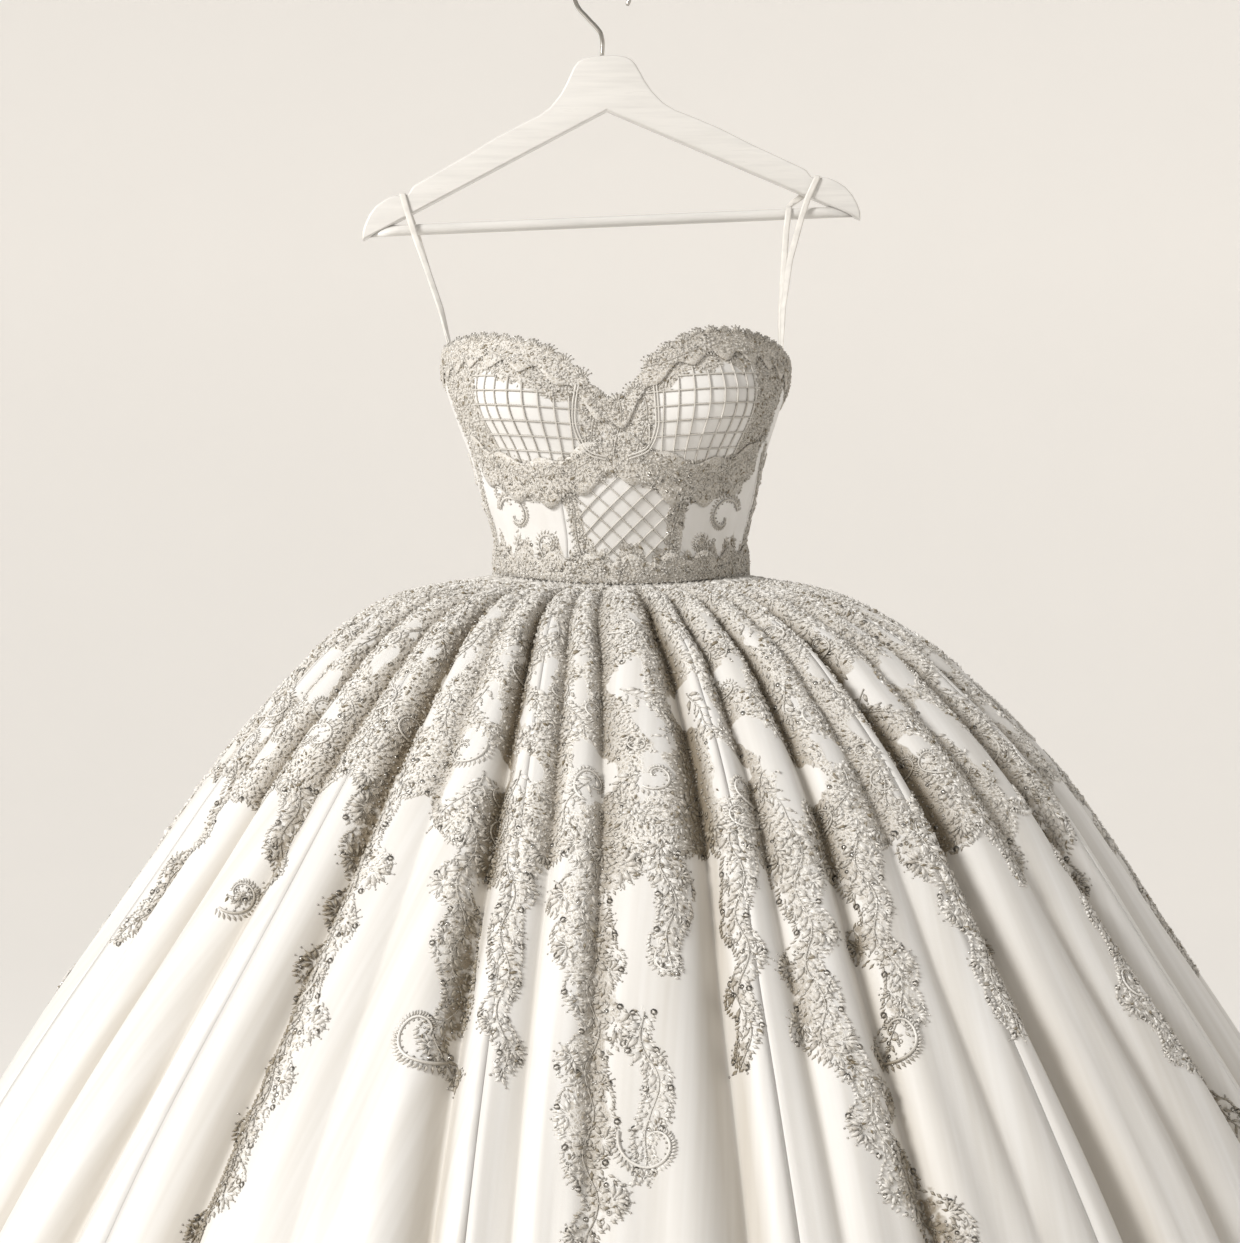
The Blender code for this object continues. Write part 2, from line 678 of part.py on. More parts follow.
def placket():
    """Strip over the hidden zip at the middle of the back."""
    half = math.radians(PLACKET_HALF_ANGLE)
    angles = np.linspace(math.pi - half, math.pi + half, 3)
    share = np.linspace(0.0, 1.0, 5)
    angle = np.repeat(angles[:, None], 5, axis=1)
    top = NECKLINE[0][1] - 0.0005
    bottom = WAIST_Z + 0.0035
    z = np.repeat((top * (1 - share) + bottom * share)[None], 3, axis=0)
    points = bodice_point(angle, z)
    normals = bodice_normal(angle, z)
    inner = points + normals * LACE_LIFT
    outer = points + normals * (LACE_LIFT + 0.0014)
    wall("back_placket", outer, inner, "satin")


# Ribbon loops

def build_loop(name, table):
    """Ribbon carried along its path, its width turned as the table says."""
    rows = np.array(table)
    path = rows[:, :3]
    turn = np.radians(rows[:, 3])
    tangent = unit(np.gradient(path, axis=0))
    wide = np.stack([np.cos(turn), np.sin(turn), 0 * turn], axis=-1)
    wide = unit(wide - tangent * np.sum(wide * tangent, axis=-1, keepdims=True))
    thick = unit(np.cross(wide, tangent))
    edge = wide * RIBBON_WIDTH / 2
    outer = np.stack([path - edge, path + edge])
    half = thick * RIBBON / 2
    wall(name, outer + half[None], outer - half[None], "ribbon")


# Hanger

def hanger_point(across, down):
    """World x and z of a point in the hanger's own frame."""
    x = HANGER_X + across * math.cos(HANGER_TILT) + down * math.sin(HANGER_TILT)
    z = HANGER_Z + across * math.sin(HANGER_TILT) - down * math.cos(HANGER_TILT)
    return x, z


def evaluated_mesh(item):
    """Mesh of an object with its modifiers applied and its place kept."""
    graph = bpy.context.evaluated_depsgraph_get()
    graph.update()
    mesh = bpy.data.meshes.new_from_object(item.evaluated_get(graph))
    mesh.transform(item.matrix_world)
    return mesh


def build_hanger():
    """Flat outline of the hanger given its thickness and a rounded edge."""
    half = list(HANGER_HALF)
    outline = half + [(0.0, HANGER_APEX)] + [(-x, y) for x, y in reversed(half[1:])]
    curve = bpy.data.curves.new("hanger_outline", "CURVE")
    curve.dimensions = "2D"
    curve.fill_mode = "BOTH"
    curve.extrude = HANGER_THICK / 2 - HANGER_EDGE
    curve.bevel_depth = HANGER_EDGE
    curve.bevel_resolution = 0
    curve.offset = -HANGER_EDGE
    spline = curve.splines.new("POLY")
    spline.points.add(len(outline) - 1)
    for point, (across, down) in zip(spline.points, outline):
        x, z = hanger_point(across, down)
        point.co = (x, z, 0.0, 1.0)
    spline.use_cyclic_u = True
    item = bpy.data.objects.new("hanger_shape", curve)
    collection(PART).objects.link(item)
    item.rotation_euler = (math.pi / 2, 0.0, 0.0)
    bpy.context.view_layer.update()
    mesh = evaluated_mesh(item)
    bpy.data.objects.remove(item)
    work = bmesh.new()
    work.from_mesh(mesh)
    bmesh.ops.remove_doubles(work, verts=work.verts, dist=1e-6)
    bmesh.ops.recalc_face_normals(work, faces=work.faces)
    work.to_mesh(mesh)
    work.free()
    add_object("hanger_body", mesh, "painted_wood", smooth=False)


def build_bar():
    """Round bar under the arms, its ends cut to the slant of their lower edges."""
    tip_across, tip_down = HANGER_HALF[-1]
    slope = (tip_down - HANGER_APEX) / tip_across
    clear_of_arm = GAP * 1.2 / math.cos(math.atan(slope))
    sides = 16
    ring = [(BAR_RADIUS * math.cos(2 * math.pi * k / sides), BAR_RADIUS * math.sin(2 * math.pi * k / sides))
            for k in range(sides)]
    points = []
    for end in (-1, 1):
        for out, down in ring:
            level = BAR_DOWN + down
            reach = (level - clear_of_arm - HANGER_APEX) / slope
            x, z = hanger_point(end * reach, level)
            points.append((x, out, z))
    faces = [tuple(range(sides)), tuple(range(2 * sides - 1, sides - 1, -1))]
    for k in range(sides):
        other = (k + 1) % sides
        faces.append((k, other, sides + other, sides + k))
    add_object("trouser_bar", mesh_from("trouser_bar", points, faces), "painted_wood")


def build_hook():
    """Wire of the hook: round over the rail, then a slant into the upright stem."""
    centre = WIRE_RADIUS - HOOK_RADIUS
    path = []
    for step in range(16):
        angle = math.radians(HOOK_END + (HOOK_LEAVE - HOOK_END) * step / 15)
        path.append((HOOK_RADIUS * math.cos(angle), centre + HOOK_RADIUS * math.sin(angle)))
    path += list(HOOK_TAIL)
    path.append((0.0, HANGER_Z + GAP))
    curve = bpy.data.curves.new("hook_path", "CURVE")
    curve.dimensions = "3D"
    curve.bevel_depth = WIRE_RADIUS
    curve.bevel_resolution = 2
    curve.use_fill_caps = True
    spline = curve.splines.new("POLY")
    spline.points.add(len(path) - 1)
    for point, (x, z) in zip(spline.points, path):
        point.co = (x, 0.0, z, 1.0)
    item = bpy.data.objects.new("hook_shape", curve)
    collection(PART).objects.link(item)
    bpy.context.view_layer.update()
    mesh = evaluated_mesh(item)
    bpy.data.objects.remove(item)
    work = bmesh.new()
    work.from_mesh(mesh)
    bmesh.ops.remove_doubles(work, verts=work.verts, dist=1e-6)
    bmesh.ops.recalc_face_normals(work, faces=work.faces)
    work.to_mesh(mesh)
    work.free()
    add_object("hook", mesh, "chrome")


def main():
    """Builds the whole part."""
    clear()
    build_skirt()
    build_skirt_lace()
    build_bodice()
    build_bodice_lace()
    build_loop("hanger_loop_left", LEFT_LOOP)
    build_loop("hanger_loop_right", RIGHT_LOOP)
    build_hanger()
    build_bar()
    build_hook()


main()
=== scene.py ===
"""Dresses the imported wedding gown: pleated satin and tulle, beaded lace, lattice bodice, ribbons and hanger.

Lengths are in metres, +Z is up, the front of the gown faces -Y and +X is the viewer's right.
"""

import math
from functools import cache

import bpy
import numpy as np
from bpy.props import FloatProperty, FloatVectorProperty, IntProperty, PointerProperty
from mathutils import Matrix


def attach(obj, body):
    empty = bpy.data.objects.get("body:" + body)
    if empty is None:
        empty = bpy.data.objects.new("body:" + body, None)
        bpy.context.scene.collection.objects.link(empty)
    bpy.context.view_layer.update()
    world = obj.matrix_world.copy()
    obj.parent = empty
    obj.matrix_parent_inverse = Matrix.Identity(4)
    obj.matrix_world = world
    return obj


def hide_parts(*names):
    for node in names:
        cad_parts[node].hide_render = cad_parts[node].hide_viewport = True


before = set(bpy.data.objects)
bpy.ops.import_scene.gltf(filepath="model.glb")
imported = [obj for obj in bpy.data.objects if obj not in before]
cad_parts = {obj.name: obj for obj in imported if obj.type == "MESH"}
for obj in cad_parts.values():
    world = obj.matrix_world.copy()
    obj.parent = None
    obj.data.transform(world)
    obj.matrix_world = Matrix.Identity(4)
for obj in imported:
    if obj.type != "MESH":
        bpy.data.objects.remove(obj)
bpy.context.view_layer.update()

bl_info = {
    "name": "Wedding gown on a hanger",
    "version": (1, 0, 0),
    "blender": (4, 5, 0),
    "location": "3D View > Sidebar > Gown",
    "description": "Builds the cloth, lace, beads and hanger of a wedding gown around its fixed frame",
    "category": "Object",
}

COLLECTION = "wedding_gown_dressed"
BODY = "root"
PICTURE_LONG_SIDE = 1243.0
SENSOR = 36.0
FLOOR_Z = -1.635
STUDIO_SIDES = 96
DAYLIGHT = (1.0, 0.980, 0.952)

# Waist and skirt, as the cloth's solids have them
GAP = 0.0003
WAIST_Z = -0.547
WAIST_DIP = 0.010
WAIST_MID_Y = -0.085
FRONT_RATIO = 0.80
WALL_Y = 0.045
HEM_MID_Y = -0.300
SKIRT_LENGTH = 1.299
PLEAT_SPREAD = 0.9  # distance down the skirt at which the pleats reach their angle at the hem

# Skirt outline, columns: height, half width, middle x
SKIRT_OUTLINE = np.array((
    (-0.5473, 0.108, 0.017), (-0.553, 0.15, 0.014), (-0.563, 0.19, 0.0145), (-0.584, 0.228, 0.0165),
    (-0.606, 0.258, 0.021), (-0.638, 0.29, 0.024), (-0.676, 0.325, 0.027), (-0.72, 0.359, 0.029),
    (-0.77, 0.3925, 0.029), (-0.827, 0.43, 0.028), (-0.89, 0.472, 0.028), (-0.96, 0.515, 0.028),
    (-1.1, 0.588, 0.027), (-1.25, 0.66, 0.026), (-1.4, 0.727, 0.025), (-1.5, 0.769, 0.025),
    (-1.6, 0.808, 0.025),
))

# Pleat valleys, columns: angle at the waist, angle at the hem, depth at the hip, depth at the hem (mm)
PLEATS = np.array((
    (-167, -167, 9, 24), (-155, -154, 12, 30), (-142, -141, 9, 22), (-129, -128, 13, 32),
    (-116, -117, 10, 24), (-104, -106, 13, 30), (-93, -96, 10, 22), (-82, -86, 13, 28),
    (-71.7, -77.5, 12, 26), (-62.1, -68.8, 9, 20), (-52.4, -60.6, 16, 34), (-40.7, -51.4, 13, 26),
    (-30.9, -37.3, 20, 38), (-24, -26, 6, 8), (-18.1, -14.2, 20, 36), (-10.7, -8.2, 10, 12),
    (-4.7, -3.2, 12, 5), (7.3, 8.3, 24, 34), (13.4, 15.4, 14, 8), (21.5, 22, 18, 30), (28.1, 31.2, 8, 14),
    (35.8, 41.9, 28, 44), (45.5, 51.7, 8, 18), (56.8, 61, 16, 34), (67.2, 70.3, 10, 20), (77.5, 81, 13, 28),
    (89, 91, 10, 22), (101, 102, 13, 30), (113, 113, 9, 22), (126, 125, 13, 32), (139, 138, 10, 24),
    (153, 152, 13, 30), (167, 167, 9, 24),
))
PLEAT_COUNT = len(PLEATS)

# Share of a pleat's depth reached down the skirt, columns: distance, share of hip depth, share of hem depth
PLEAT_GROWTH = np.array((
    (0, 0, 0), (0.02, 0.2, 0), (0.06, 0.48, 0), (0.15, 0.92, 0), (0.3, 1, 0), (0.6, 0.45, 0.55),
    (0.95, 0, 1), (1.31, 0, 1.1),
))

# Soft creases between the pleats, columns: angle, lean (degrees per metre), first and last distance,
# depth (mm, minus for a ridge), half width (mm)
CREASES = np.array((
    (-171, 2, 0.3, 1.31, 5, 20), (-148, -3, 0.42, 1.31, 6, 24), (-123, 2, 0.35, 1.2, 5, 18),
    (-110, -2, 0.55, 1.31, -5, 22), (-90, -3, 0.4, 1.31, 6, 20), (-79, -5, 0.5, 1.31, 5, 16),
    (-66, -6, 0.34, 1.25, 6, 18), (-56, -7, 0.4, 1.31, -5, 14), (-46, -6, 0.36, 1.31, 7, 16),
    (-41, -9, 0.55, 1.31, 5, 12), (-35, -5, 0.45, 1.1, -5, 12), (-30.5, -4, 0.38, 1.31, 5, 12),
    (-21.5, -1.5, 0.4, 1.31, 6, 14), (-18.2, -1, 0.6, 1.31, -4, 10), (-10.6, 0.5, 0.38, 1.2, 5, 11),
    (-6.2, 1, 0.44, 1.31, 4, 9), (0.8, 0.6, 0.42, 1.31, 5, 14), (4.4, 1.4, 0.55, 1.31, -4, 10),
    (11.6, 1.5, 0.38, 1.25, 5, 12), (18.6, 1, 0.42, 1.31, 6, 13), (26, 3, 0.36, 1.31, 6, 14),
    (29.5, 6, 0.5, 1.31, -5, 12), (34, 6, 0.4, 1.31, 5, 13), (43, 6, 0.36, 1.31, 6, 14),
    (49, 5, 0.55, 1.31, 5, 14), (56.5, 5, 0.36, 1.31, -6, 16), (65, 4, 0.34, 1.31, 6, 16),
    (74, 4, 0.46, 1.31, 5, 16), (86, 2, 0.36, 1.31, 6, 20), (97, 2, 0.5, 1.31, -5, 20),
    (107, 1, 0.36, 1.25, 6, 18), (119, 1, 0.44, 1.31, 5, 20), (133, -1, 0.38, 1.31, -6, 22),
    (146, -2, 0.5, 1.31, 6, 22), (160, -2, 0.36, 1.31, 5, 20), (178, 0, 0.45, 1.31, 5, 22),
))

# Gores of three pleats, columns: name, first pleat, last pleat (seams run down the crests between)
GORES = tuple((name, 3.0 * k - 0.5, 3.0 * k + 2.5) for k, name in enumerate((
    "back_left", "side_back_left", "side_left", "side_front_left", "front_left", "centre_front",
    "front_right", "side_front_right", "side_right", "side_back_right", "back_right")))

# Lower edge of the lace where it covers the skirt all round, columns: angle, distance down the skirt
LACE_CAP = np.array((
    (-180, 0.3), (-170, 0.345), (-160, 0.3), (-148, 0.345), (-136, 0.3), (-124, 0.335), (-112, 0.295),
    (-100, 0.325), (-88, 0.29), (-76, 0.3), (-66, 0.29), (-58, 0.318), (-52, 0.306), (-45.5, 0.3),
    (-39.5, 0.286), (-32.5, 0.302), (-26.5, 0.3), (-21, 0.338), (-16, 0.362), (-12, 0.376), (-10, 0.35),
    (-7.5, 0.346), (-4, 0.352), (0, 0.362), (3.5, 0.346), (6.5, 0.346), (10, 0.324), (13, 0.356),
    (17, 0.352), (20, 0.366), (25.5, 0.35), (30.5, 0.332), (34.5, 0.346), (37.5, 0.352), (43.5, 0.33),
    (46, 0.352), (52, 0.325), (59, 0.312), (65.5, 0.316), (76, 0.29), (88, 0.315), (100, 0.29), (112, 0.33),
    (124, 0.295), (136, 0.34), (148, 0.3), (160, 0.345), (170, 0.3), (180, 0.3),
))

# Tails of the lace that show in the picture, columns: angle, distance down the skirt, half width (mm)
LACE_TAILS = (
    ((-32.2, 0.28, 24), (-32, 0.35, 22), (-32, 0.42, 18), (-32, 0.49, 20), (-32.5, 0.56, 16),
     (-34, 0.62, 13), (-36, 0.66, 7)),
    ((-19, 0.32, 15), (-18.5, 0.39, 13), (-17, 0.45, 13), (-17.6, 0.485, 9), (-15.6, 0.52, 7)),
    ((-13.6, 0.35, 14), (-12.6, 0.43, 11), (-11.8, 0.48, 9), (-11.2, 0.52, 6)),
    ((-4.8, 0.33, 22), (-5.2, 0.39, 26), (-4.4, 0.43, 22), (-3.8, 0.48, 18), (-4, 0.53, 20),
     (-3.8, 0.57, 18), (-3.2, 0.61, 13), (-3.8, 0.65, 8)),
    ((0.2, 0.47, 7), (1.2, 0.51, 10), (1.2, 0.545, 9), (-0.4, 0.59, 6)),
    ((2.4, 0.34, 16), (3.2, 0.39, 14), (3.2, 0.42, 10), (2.5, 0.445, 6)),
    ((10.6, 0.33, 14), (10.2, 0.4, 9), (9.6, 0.46, 8), (9, 0.51, 5)),
    ((17.5, 0.33, 20), (16.6, 0.4, 15), (16.4, 0.45, 16), (16.2, 0.49, 20), (18.6, 0.52, 18),
     (19.4, 0.56, 15), (20.4, 0.59, 19), (22.6, 0.62, 20), (23.6, 0.65, 10)),
    ((24.6, 0.34, 16), (24.2, 0.4, 13), (24.5, 0.44, 15), (24.6, 0.475, 14), (21.5, 0.5, 9)),
    ((33.5, 0.33, 22), (35.2, 0.39, 20), (35.6, 0.43, 17), (35.4, 0.47, 12), (35, 0.5, 7)),
    ((45, 0.32, 18), (45.8, 0.36, 12), (46.4, 0.385, 7)),
    ((62, 0.3, 16), (58.5, 0.37, 15), (56.5, 0.42, 13), (53.8, 0.48, 12), (55.4, 0.53, 11),
     (60, 0.57, 8), (62.5, 0.6, 5)),
    ((-47, 0.3, 12), (-45.5, 0.34, 9), (-44, 0.375, 8), (-47.4, 0.4, 7)),
    ((-64, 0.28, 16), (-63, 0.34, 13), (-66, 0.4, 9), (-68, 0.45, 6)),
)
# Tails on the sides and back, which the picture hides: angles and lengths by turns, sway 1.4 sin(5t + k)
LACE_TAILS += tuple(tuple(
    (angle + 1.4 * math.sin(5 * t + k), 0.28 + (0.21 + 0.05 * (k % 3)) * t, 22 - 14 * t ** 1.5)
    for t in (0, 0.2, 0.4, 0.6, 0.8, 1)) for k, angle in enumerate(np.arange(84, 277, 19.2)))
LOBE_STEP = 0.040
CAP_LOBE = 6.4
WINDOW_STEP = 0.058
# Pleat depth at which the painted shade in the folds is full
CREASE_SHADE_FULL = 0.013

# Free curls beside the tails, columns: angle, distance, radius (mm), hand, turn (degrees)
LACE_CURLS = (
    (-18.9, 0.487, 21, 1, 40), (1, 0.56, 20, -1, 200), (-47.6, 0.392, 15, -1, 120),
    (23.2, 0.487, 20, -1, 160), (3, 0.432, 10, -1, 220), (-33, 0.45, 15, 1, 20), (55, 0.47, 14, 1, 70),
    (-104, 0.47, 20, 1, 20), (-140, 0.5, 20, -1, 160), (103, 0.48, 20, -1, 160), (140, 0.5, 20, 1, 20),
    (179, 0.5, 22, 1, 30),
)

# Bodice sections, columns: height, half width, front y, back y, middle x
BODICE_SECTIONS = np.array((
    (-0.575, 0.108, -0.1725, 0.0025, 0.017), (-0.547, 0.108, -0.1725, 0.0025, 0.017),
    (-0.514, 0.1085, -0.178, 0.006, 0.0165), (-0.48, 0.118, -0.186, 0.012, 0.015),
    (-0.445, 0.1265, -0.189, 0.02, 0.014), (-0.41, 0.1385, -0.186, 0.028, 0.013),
    (-0.38, 0.1475, -0.181, 0.033, 0.0125), (-0.335, 0.145, -0.172, 0.036, 0.0125),
))
BODICE_MID_Y = -0.078
BODICE_SPAN = 0.0024  # metres to a degree
STEP_ACROSS = 0.4  # degrees to each side of a point whose directions are read
STEP_DOWN = 0.0015
CUP_ANGLE = 34.0
CUP_Z = -0.404
CUP_WIDE = 21.0
CUP_TALL = 0.040
CUP_OUT = 0.026

# Neckline, columns: angle, height
NECKLINE = np.array((
    (-180, -0.415), (-150, -0.412), (-120, -0.395), (-95, -0.362), (-80, -0.354), (-66, -0.351),
    (-48, -0.348), (-33, -0.353), (-22, -0.361), (-12, -0.379), (-4, -0.402), (5, -0.395), (10, -0.373),
    (16, -0.36), (24, -0.349), (36, -0.344), (48, -0.345), (62, -0.351), (85, -0.367), (95, -0.374),
    (120, -0.398), (150, -0.413), (180, -0.415),
))

# Seam under the cups, the same on both sides, columns: angle, height
UNDERBUST = np.array((
    (0, -0.444), (10, -0.452), (24, -0.464), (40, -0.462), (60, -0.446), (74, -0.43), (112, -0.445),
    (180, -0.47),
))
UNDERBUST = np.concatenate([UNDERBUST[:0:-1] * (-1, 1), UNDERBUST])

# Bodice panels, columns: name, first angle, last angle, lower edge, upper edge
BODICE_PANELS = (
    ("cup_left", -74, 0, "underbust", "neckline"),
    ("cup_right", 0, 74, "underbust", "neckline"),
    ("centre_front", -24, 24, "waist", "underbust"),
    ("side_front_left", -74, -24, "waist", "underbust"),
    ("side_front_right", 24, 74, "waist", "underbust"),
    ("side_left", -112, -74, "waist", "neckline"),
    ("side_right", 74, 112, "waist", "neckline"),
    ("back_left", -180, -112, "waist", "neckline"),
    ("back_right", 112, 180, "waist", "neckline"),
)

# Strips of lace on the bodice, columns: angle, height, half width (mm)
BODICE_STRIPS = (
    ((-7, -0.4, 9), (-9.5, -0.425, 8), (-8, -0.452, 9)),
    ((8, -0.395, 9), (9, -0.425, 8), (8, -0.452, 9)),
    ((0.5, -0.402, 9), (0, -0.425, 10), (0, -0.45, 10)),
    ((-72, -0.365, 10), (-74, -0.395, 9), (-72, -0.425, 9), (-66, -0.445, 9)),
    ((64, -0.36, 12), (68, -0.385, 13), (66, -0.41, 13), (60, -0.436, 12),
     (48, -0.455, 11), (36, -0.47, 10)),
    ((-66, -0.448, 9), (-50, -0.458, 8), (-34, -0.466, 11), (-20, -0.462, 10),
     (-8, -0.45, 9)),
    ((8, -0.45, 9), (20, -0.462, 10), (34, -0.468, 12), (48, -0.462, 12)),
    ((-42, -0.362, 12), (-30, -0.374, 13), (-17, -0.394, 12)),
    ((8, -0.378, 12), (17, -0.37, 12), (27, -0.362, 11)),
    ((-24, -0.47, 8), (-20, -0.49, 7), (-18, -0.515, 7), (-17, -0.545, 9)),
    ((26, -0.47, 11), (25, -0.49, 10), (24, -0.515, 9), (22, -0.545, 10)),
    ((-74, -0.44, 7), (-76, -0.48, 7), (-78, -0.52, 8), (-74, -0.55, 9)),
    ((76, -0.44, 7), (80, -0.48, 7), (80, -0.52, 8), (76, -0.55, 9)),
    ((-100, -0.372, 8), (-104, -0.42, 7), (-102, -0.47, 8), (-100, -0.54, 9)),
    ((100, -0.38, 8), (104, -0.42, 7), (102, -0.47, 8), (100, -0.54, 9)),
    ((-136, -0.41, 9), (-132, -0.45, 8), (-138, -0.495, 9), (-134, -0.545, 10)),
    ((136, -0.41, 9), (132, -0.45, 8), (138, -0.495, 9), (134, -0.545, 10)),
    ((-164, -0.418, 8), (-161, -0.46, 6), (-164, -0.5, 7), (-162, -0.545, 9)),
    ((164, -0.418, 8), (161, -0.46, 6), (164, -0.5, 7), (162, -0.545, 9)),
)

# Scrolls on the bodice, columns: angle, height, radius (mm), hand, turn (degrees)
BODICE_CURLS = (
    (-50, -0.496, 16, 1, 200), (-57, -0.478, 9, -1, 40), (50, -0.498, 16, -1, 340), (56, -0.474, 8, 1, 120),
    (-90, -0.45, 11, 1, 90), (-90, -0.5, 12, -1, 270), (90, -0.45, 11, -1, 90), (90, -0.5, 12, 1, 270),
    (-119, -0.44, 12, 1, 90), (-118, -0.5, 13, -1, 270), (119, -0.44, 12, -1, 90), (118, -0.5, 13, 1, 270),
    (-149, -0.46, 12, 1, 90), (149, -0.46, 12, -1, 90), (-34, -0.52, 9, 1, 120), (37, -0.522, 9, -1, 60),
)

# Lattices, columns: name, middle angle and height, reach to each side (degrees), pitch (mm), turn (degrees),
# upper edge, lower edge
LATTICES = (
    ("cup_left", -28, -0.409, 20, 12.4, 4, "neckline", "underbust"),
    ("cup_right", 28, -0.407, 20, 12.4, -4, "neckline", "underbust"),
    ("centre_front", 0.5, -0.5, 21, 12.6, 45, "underbust", "waist"),
)

# Cords at the inner edges of the cups, columns: angle, height
CUP_CORDS = (
    ((-12, -0.392), (-13.5, -0.41), (-14, -0.428), (-11, -0.446), (-4, -0.452)),
    ((12, -0.39), (13, -0.41), (13.5, -0.428), (11, -0.444), (4, -0.451)),
)

# Neckline lace
SCALLOP_HIGH = 0.0045
NECK_LACE_DEEP = 0.022
BAND_LIFT = 0.0012
BAND_THICK = 0.0007
BACK_SEAM = 175.4
# Columns: name, first angle, last angle, scallops
NECK_LACES = (
    ("neck_lace_front", -88, 88, 33),
    ("neck_lace_back_left", -BACK_SEAM, -88.2, 11),
    ("neck_lace_back_right", 88.2, BACK_SEAM, 11),
)
BODICE_REACH = (0.33, 0.575)

# Hanger outline in its own frame, columns: across, down from the crown
HANGER_HALF = np.array((
    (0, 0), (0.011, 0.0003), (0.019, 0.0018), (0.024, 0.0048), (0.0278, 0.0092), (0.0313, 0.016),
    (0.0352, 0.024), (0.041, 0.0335), (0.0505, 0.0442), (0.061, 0.0512), (0.0741, 0.0568), (0.1, 0.069),
    (0.1267, 0.084), (0.15, 0.096), (0.1731, 0.108), (0.176, 0.11), (0.1799, 0.1158), (0.1851, 0.1183),
    (0.1897, 0.1167), (0.195, 0.1173), (0.2012, 0.1202), (0.206, 0.1232), (0.2099, 0.1261),
    (0.2159, 0.1334), (0.22, 0.1416), (0.2223, 0.1489), (0.2222, 0.1555),
))
HANGER_APEX = 0.0491
HANGER_THICK = 0.0130
HANGER_TILT = math.radians(2.4)
HANGER_X = 0.002
HANGER_Z = -0.080
BAR_RADIUS = 0.0050
BAR_DOWN = 0.1477

# Hook
WIRE_RADIUS = 0.0020
HOOK_RADIUS = 0.0250
HOOK_END = -28
HOOK_LEAVE = 228
HOOK_TAIL = ((-0.0107, -0.0480), (-0.0045, -0.0546), (-0.0013, -0.0592), (0.0, -0.0640))

# Ribbon loops, columns: x, y, z and the angle of the ribbon's width from +X towards +Y
LEFT_LOOP = np.array((
    (-0.1285, -0.0885, -0.38, 90), (-0.13, -0.0885, -0.364, 90), (-0.1308, -0.082, -0.344, 76),
    (-0.14, -0.058, -0.312, 36), (-0.155, -0.027, -0.272, 8), (-0.1664, -0.01, -0.242, 0),
    (-0.174, -0.0084, -0.218, 0), (-0.1772, -0.008, -0.207, 0), (-0.1778, -0.0076, -0.2044, 0),
    (-0.178, -0.006, -0.2032, 0), (-0.178, 0.006, -0.2032, 0), (-0.1778, 0.0076, -0.2044, 0),
    (-0.1772, 0.008, -0.207, 0), (-0.1735, 0.0084, -0.218, 0), (-0.165, 0.007, -0.242, 0),
    (-0.154, -0.012, -0.276, 12), (-0.14, -0.042, -0.316, 42), (-0.1318, -0.064, -0.348, 76),
    (-0.1308, -0.07, -0.364, 90), (-0.1292, -0.0705, -0.38, 90),
))
RIGHT_LOOP = np.array((
    (0.1522, -0.0885, -0.393, 90), (0.1548, -0.0885, -0.376, 90), (0.155, -0.083, -0.356, 100),
    (0.158, -0.058, -0.312, 138), (0.166, -0.028, -0.266, 170), (0.178, -0.0088, -0.224, 180),
    (0.184, -0.0084, -0.206, 180), (0.1908, -0.008, -0.1915, 180), (0.1917, -0.0076, -0.189, 180),
    (0.1919, -0.006, -0.1878, 180), (0.1919, 0.006, -0.1878, 180), (0.1917, 0.0076, -0.189, 180),
    (0.19, 0.008, -0.1915, 180), (0.178, 0.0082, -0.2045, 180), (0.17, 0.0062, -0.2105, 180),
    (0.1672, 0.0012, -0.2142, 180), (0.1668, -0.003, -0.2154, 180), (0.1664, -0.0058, -0.2178, 180),
    (0.166, -0.0068, -0.2215, 180), (0.164, -0.01, -0.236, 178), (0.16, -0.028, -0.28, 165),
    (0.1562, -0.05, -0.322, 136), (0.1552, -0.067, -0.358, 100), (0.1552, -0.07, -0.376, 90),
    (0.1528, -0.0705, -0.393, 90),
))
RIBBON = 0.0010
RIBBON_WIDTH = 0.0055


# Sizes and colours

def length(name, text, value, low=0.0, high=1.0):
    """Length property in metres."""
    return FloatProperty(name=name, description=text, default=value, min=low, max=high, unit="LENGTH",
                         precision=5)


def share(name, text, value, low=0.0, high=1.0):
    """Plain share property."""
    return FloatProperty(name=name, description=text, default=value, min=low, max=high, subtype="FACTOR")


def colour(name, text, value):
    """Colour property."""
    return FloatVectorProperty(name=name, description=text, default=value, size=3, min=0.0, max=1.0,
                               subtype="COLOR")


class GownCloth(bpy.types.PropertyGroup):
    """Sizes and colours of the satin and tulle."""

    skirt_wall: length("Skirt cloth", "Thickness of the skirt's layers together", 0.002)
    bodice_wall: length("Bodice cloth", "Thickness of the bodice and its lining", 0.0024)
    crease_depth: share("Crease depth", "Share of the soft creases' listed depth", 1.0, high=2.0)
    valley_round: share("Valley rounding", "How round a pleat's bottom is, as a share of the pleat", 0.03)
    satin: colour("Satin", "Colour of the satin and tulle", (0.882, 0.877, 0.868))
    shade: colour("Streaks", "Colour of the thicker streaks of tulle", (0.68, 0.655, 0.612))
    # Painted shade: the satin's colour deep in the pleats, where the folds fall in shade.
    satin_crease_shade: colour("Satin in the folds", "Colour deep in the pleats", (0.43, 0.37, 0.28))
    ribbon: colour("Ribbon", "Colour of the hanger loops", (0.85, 0.825, 0.78))


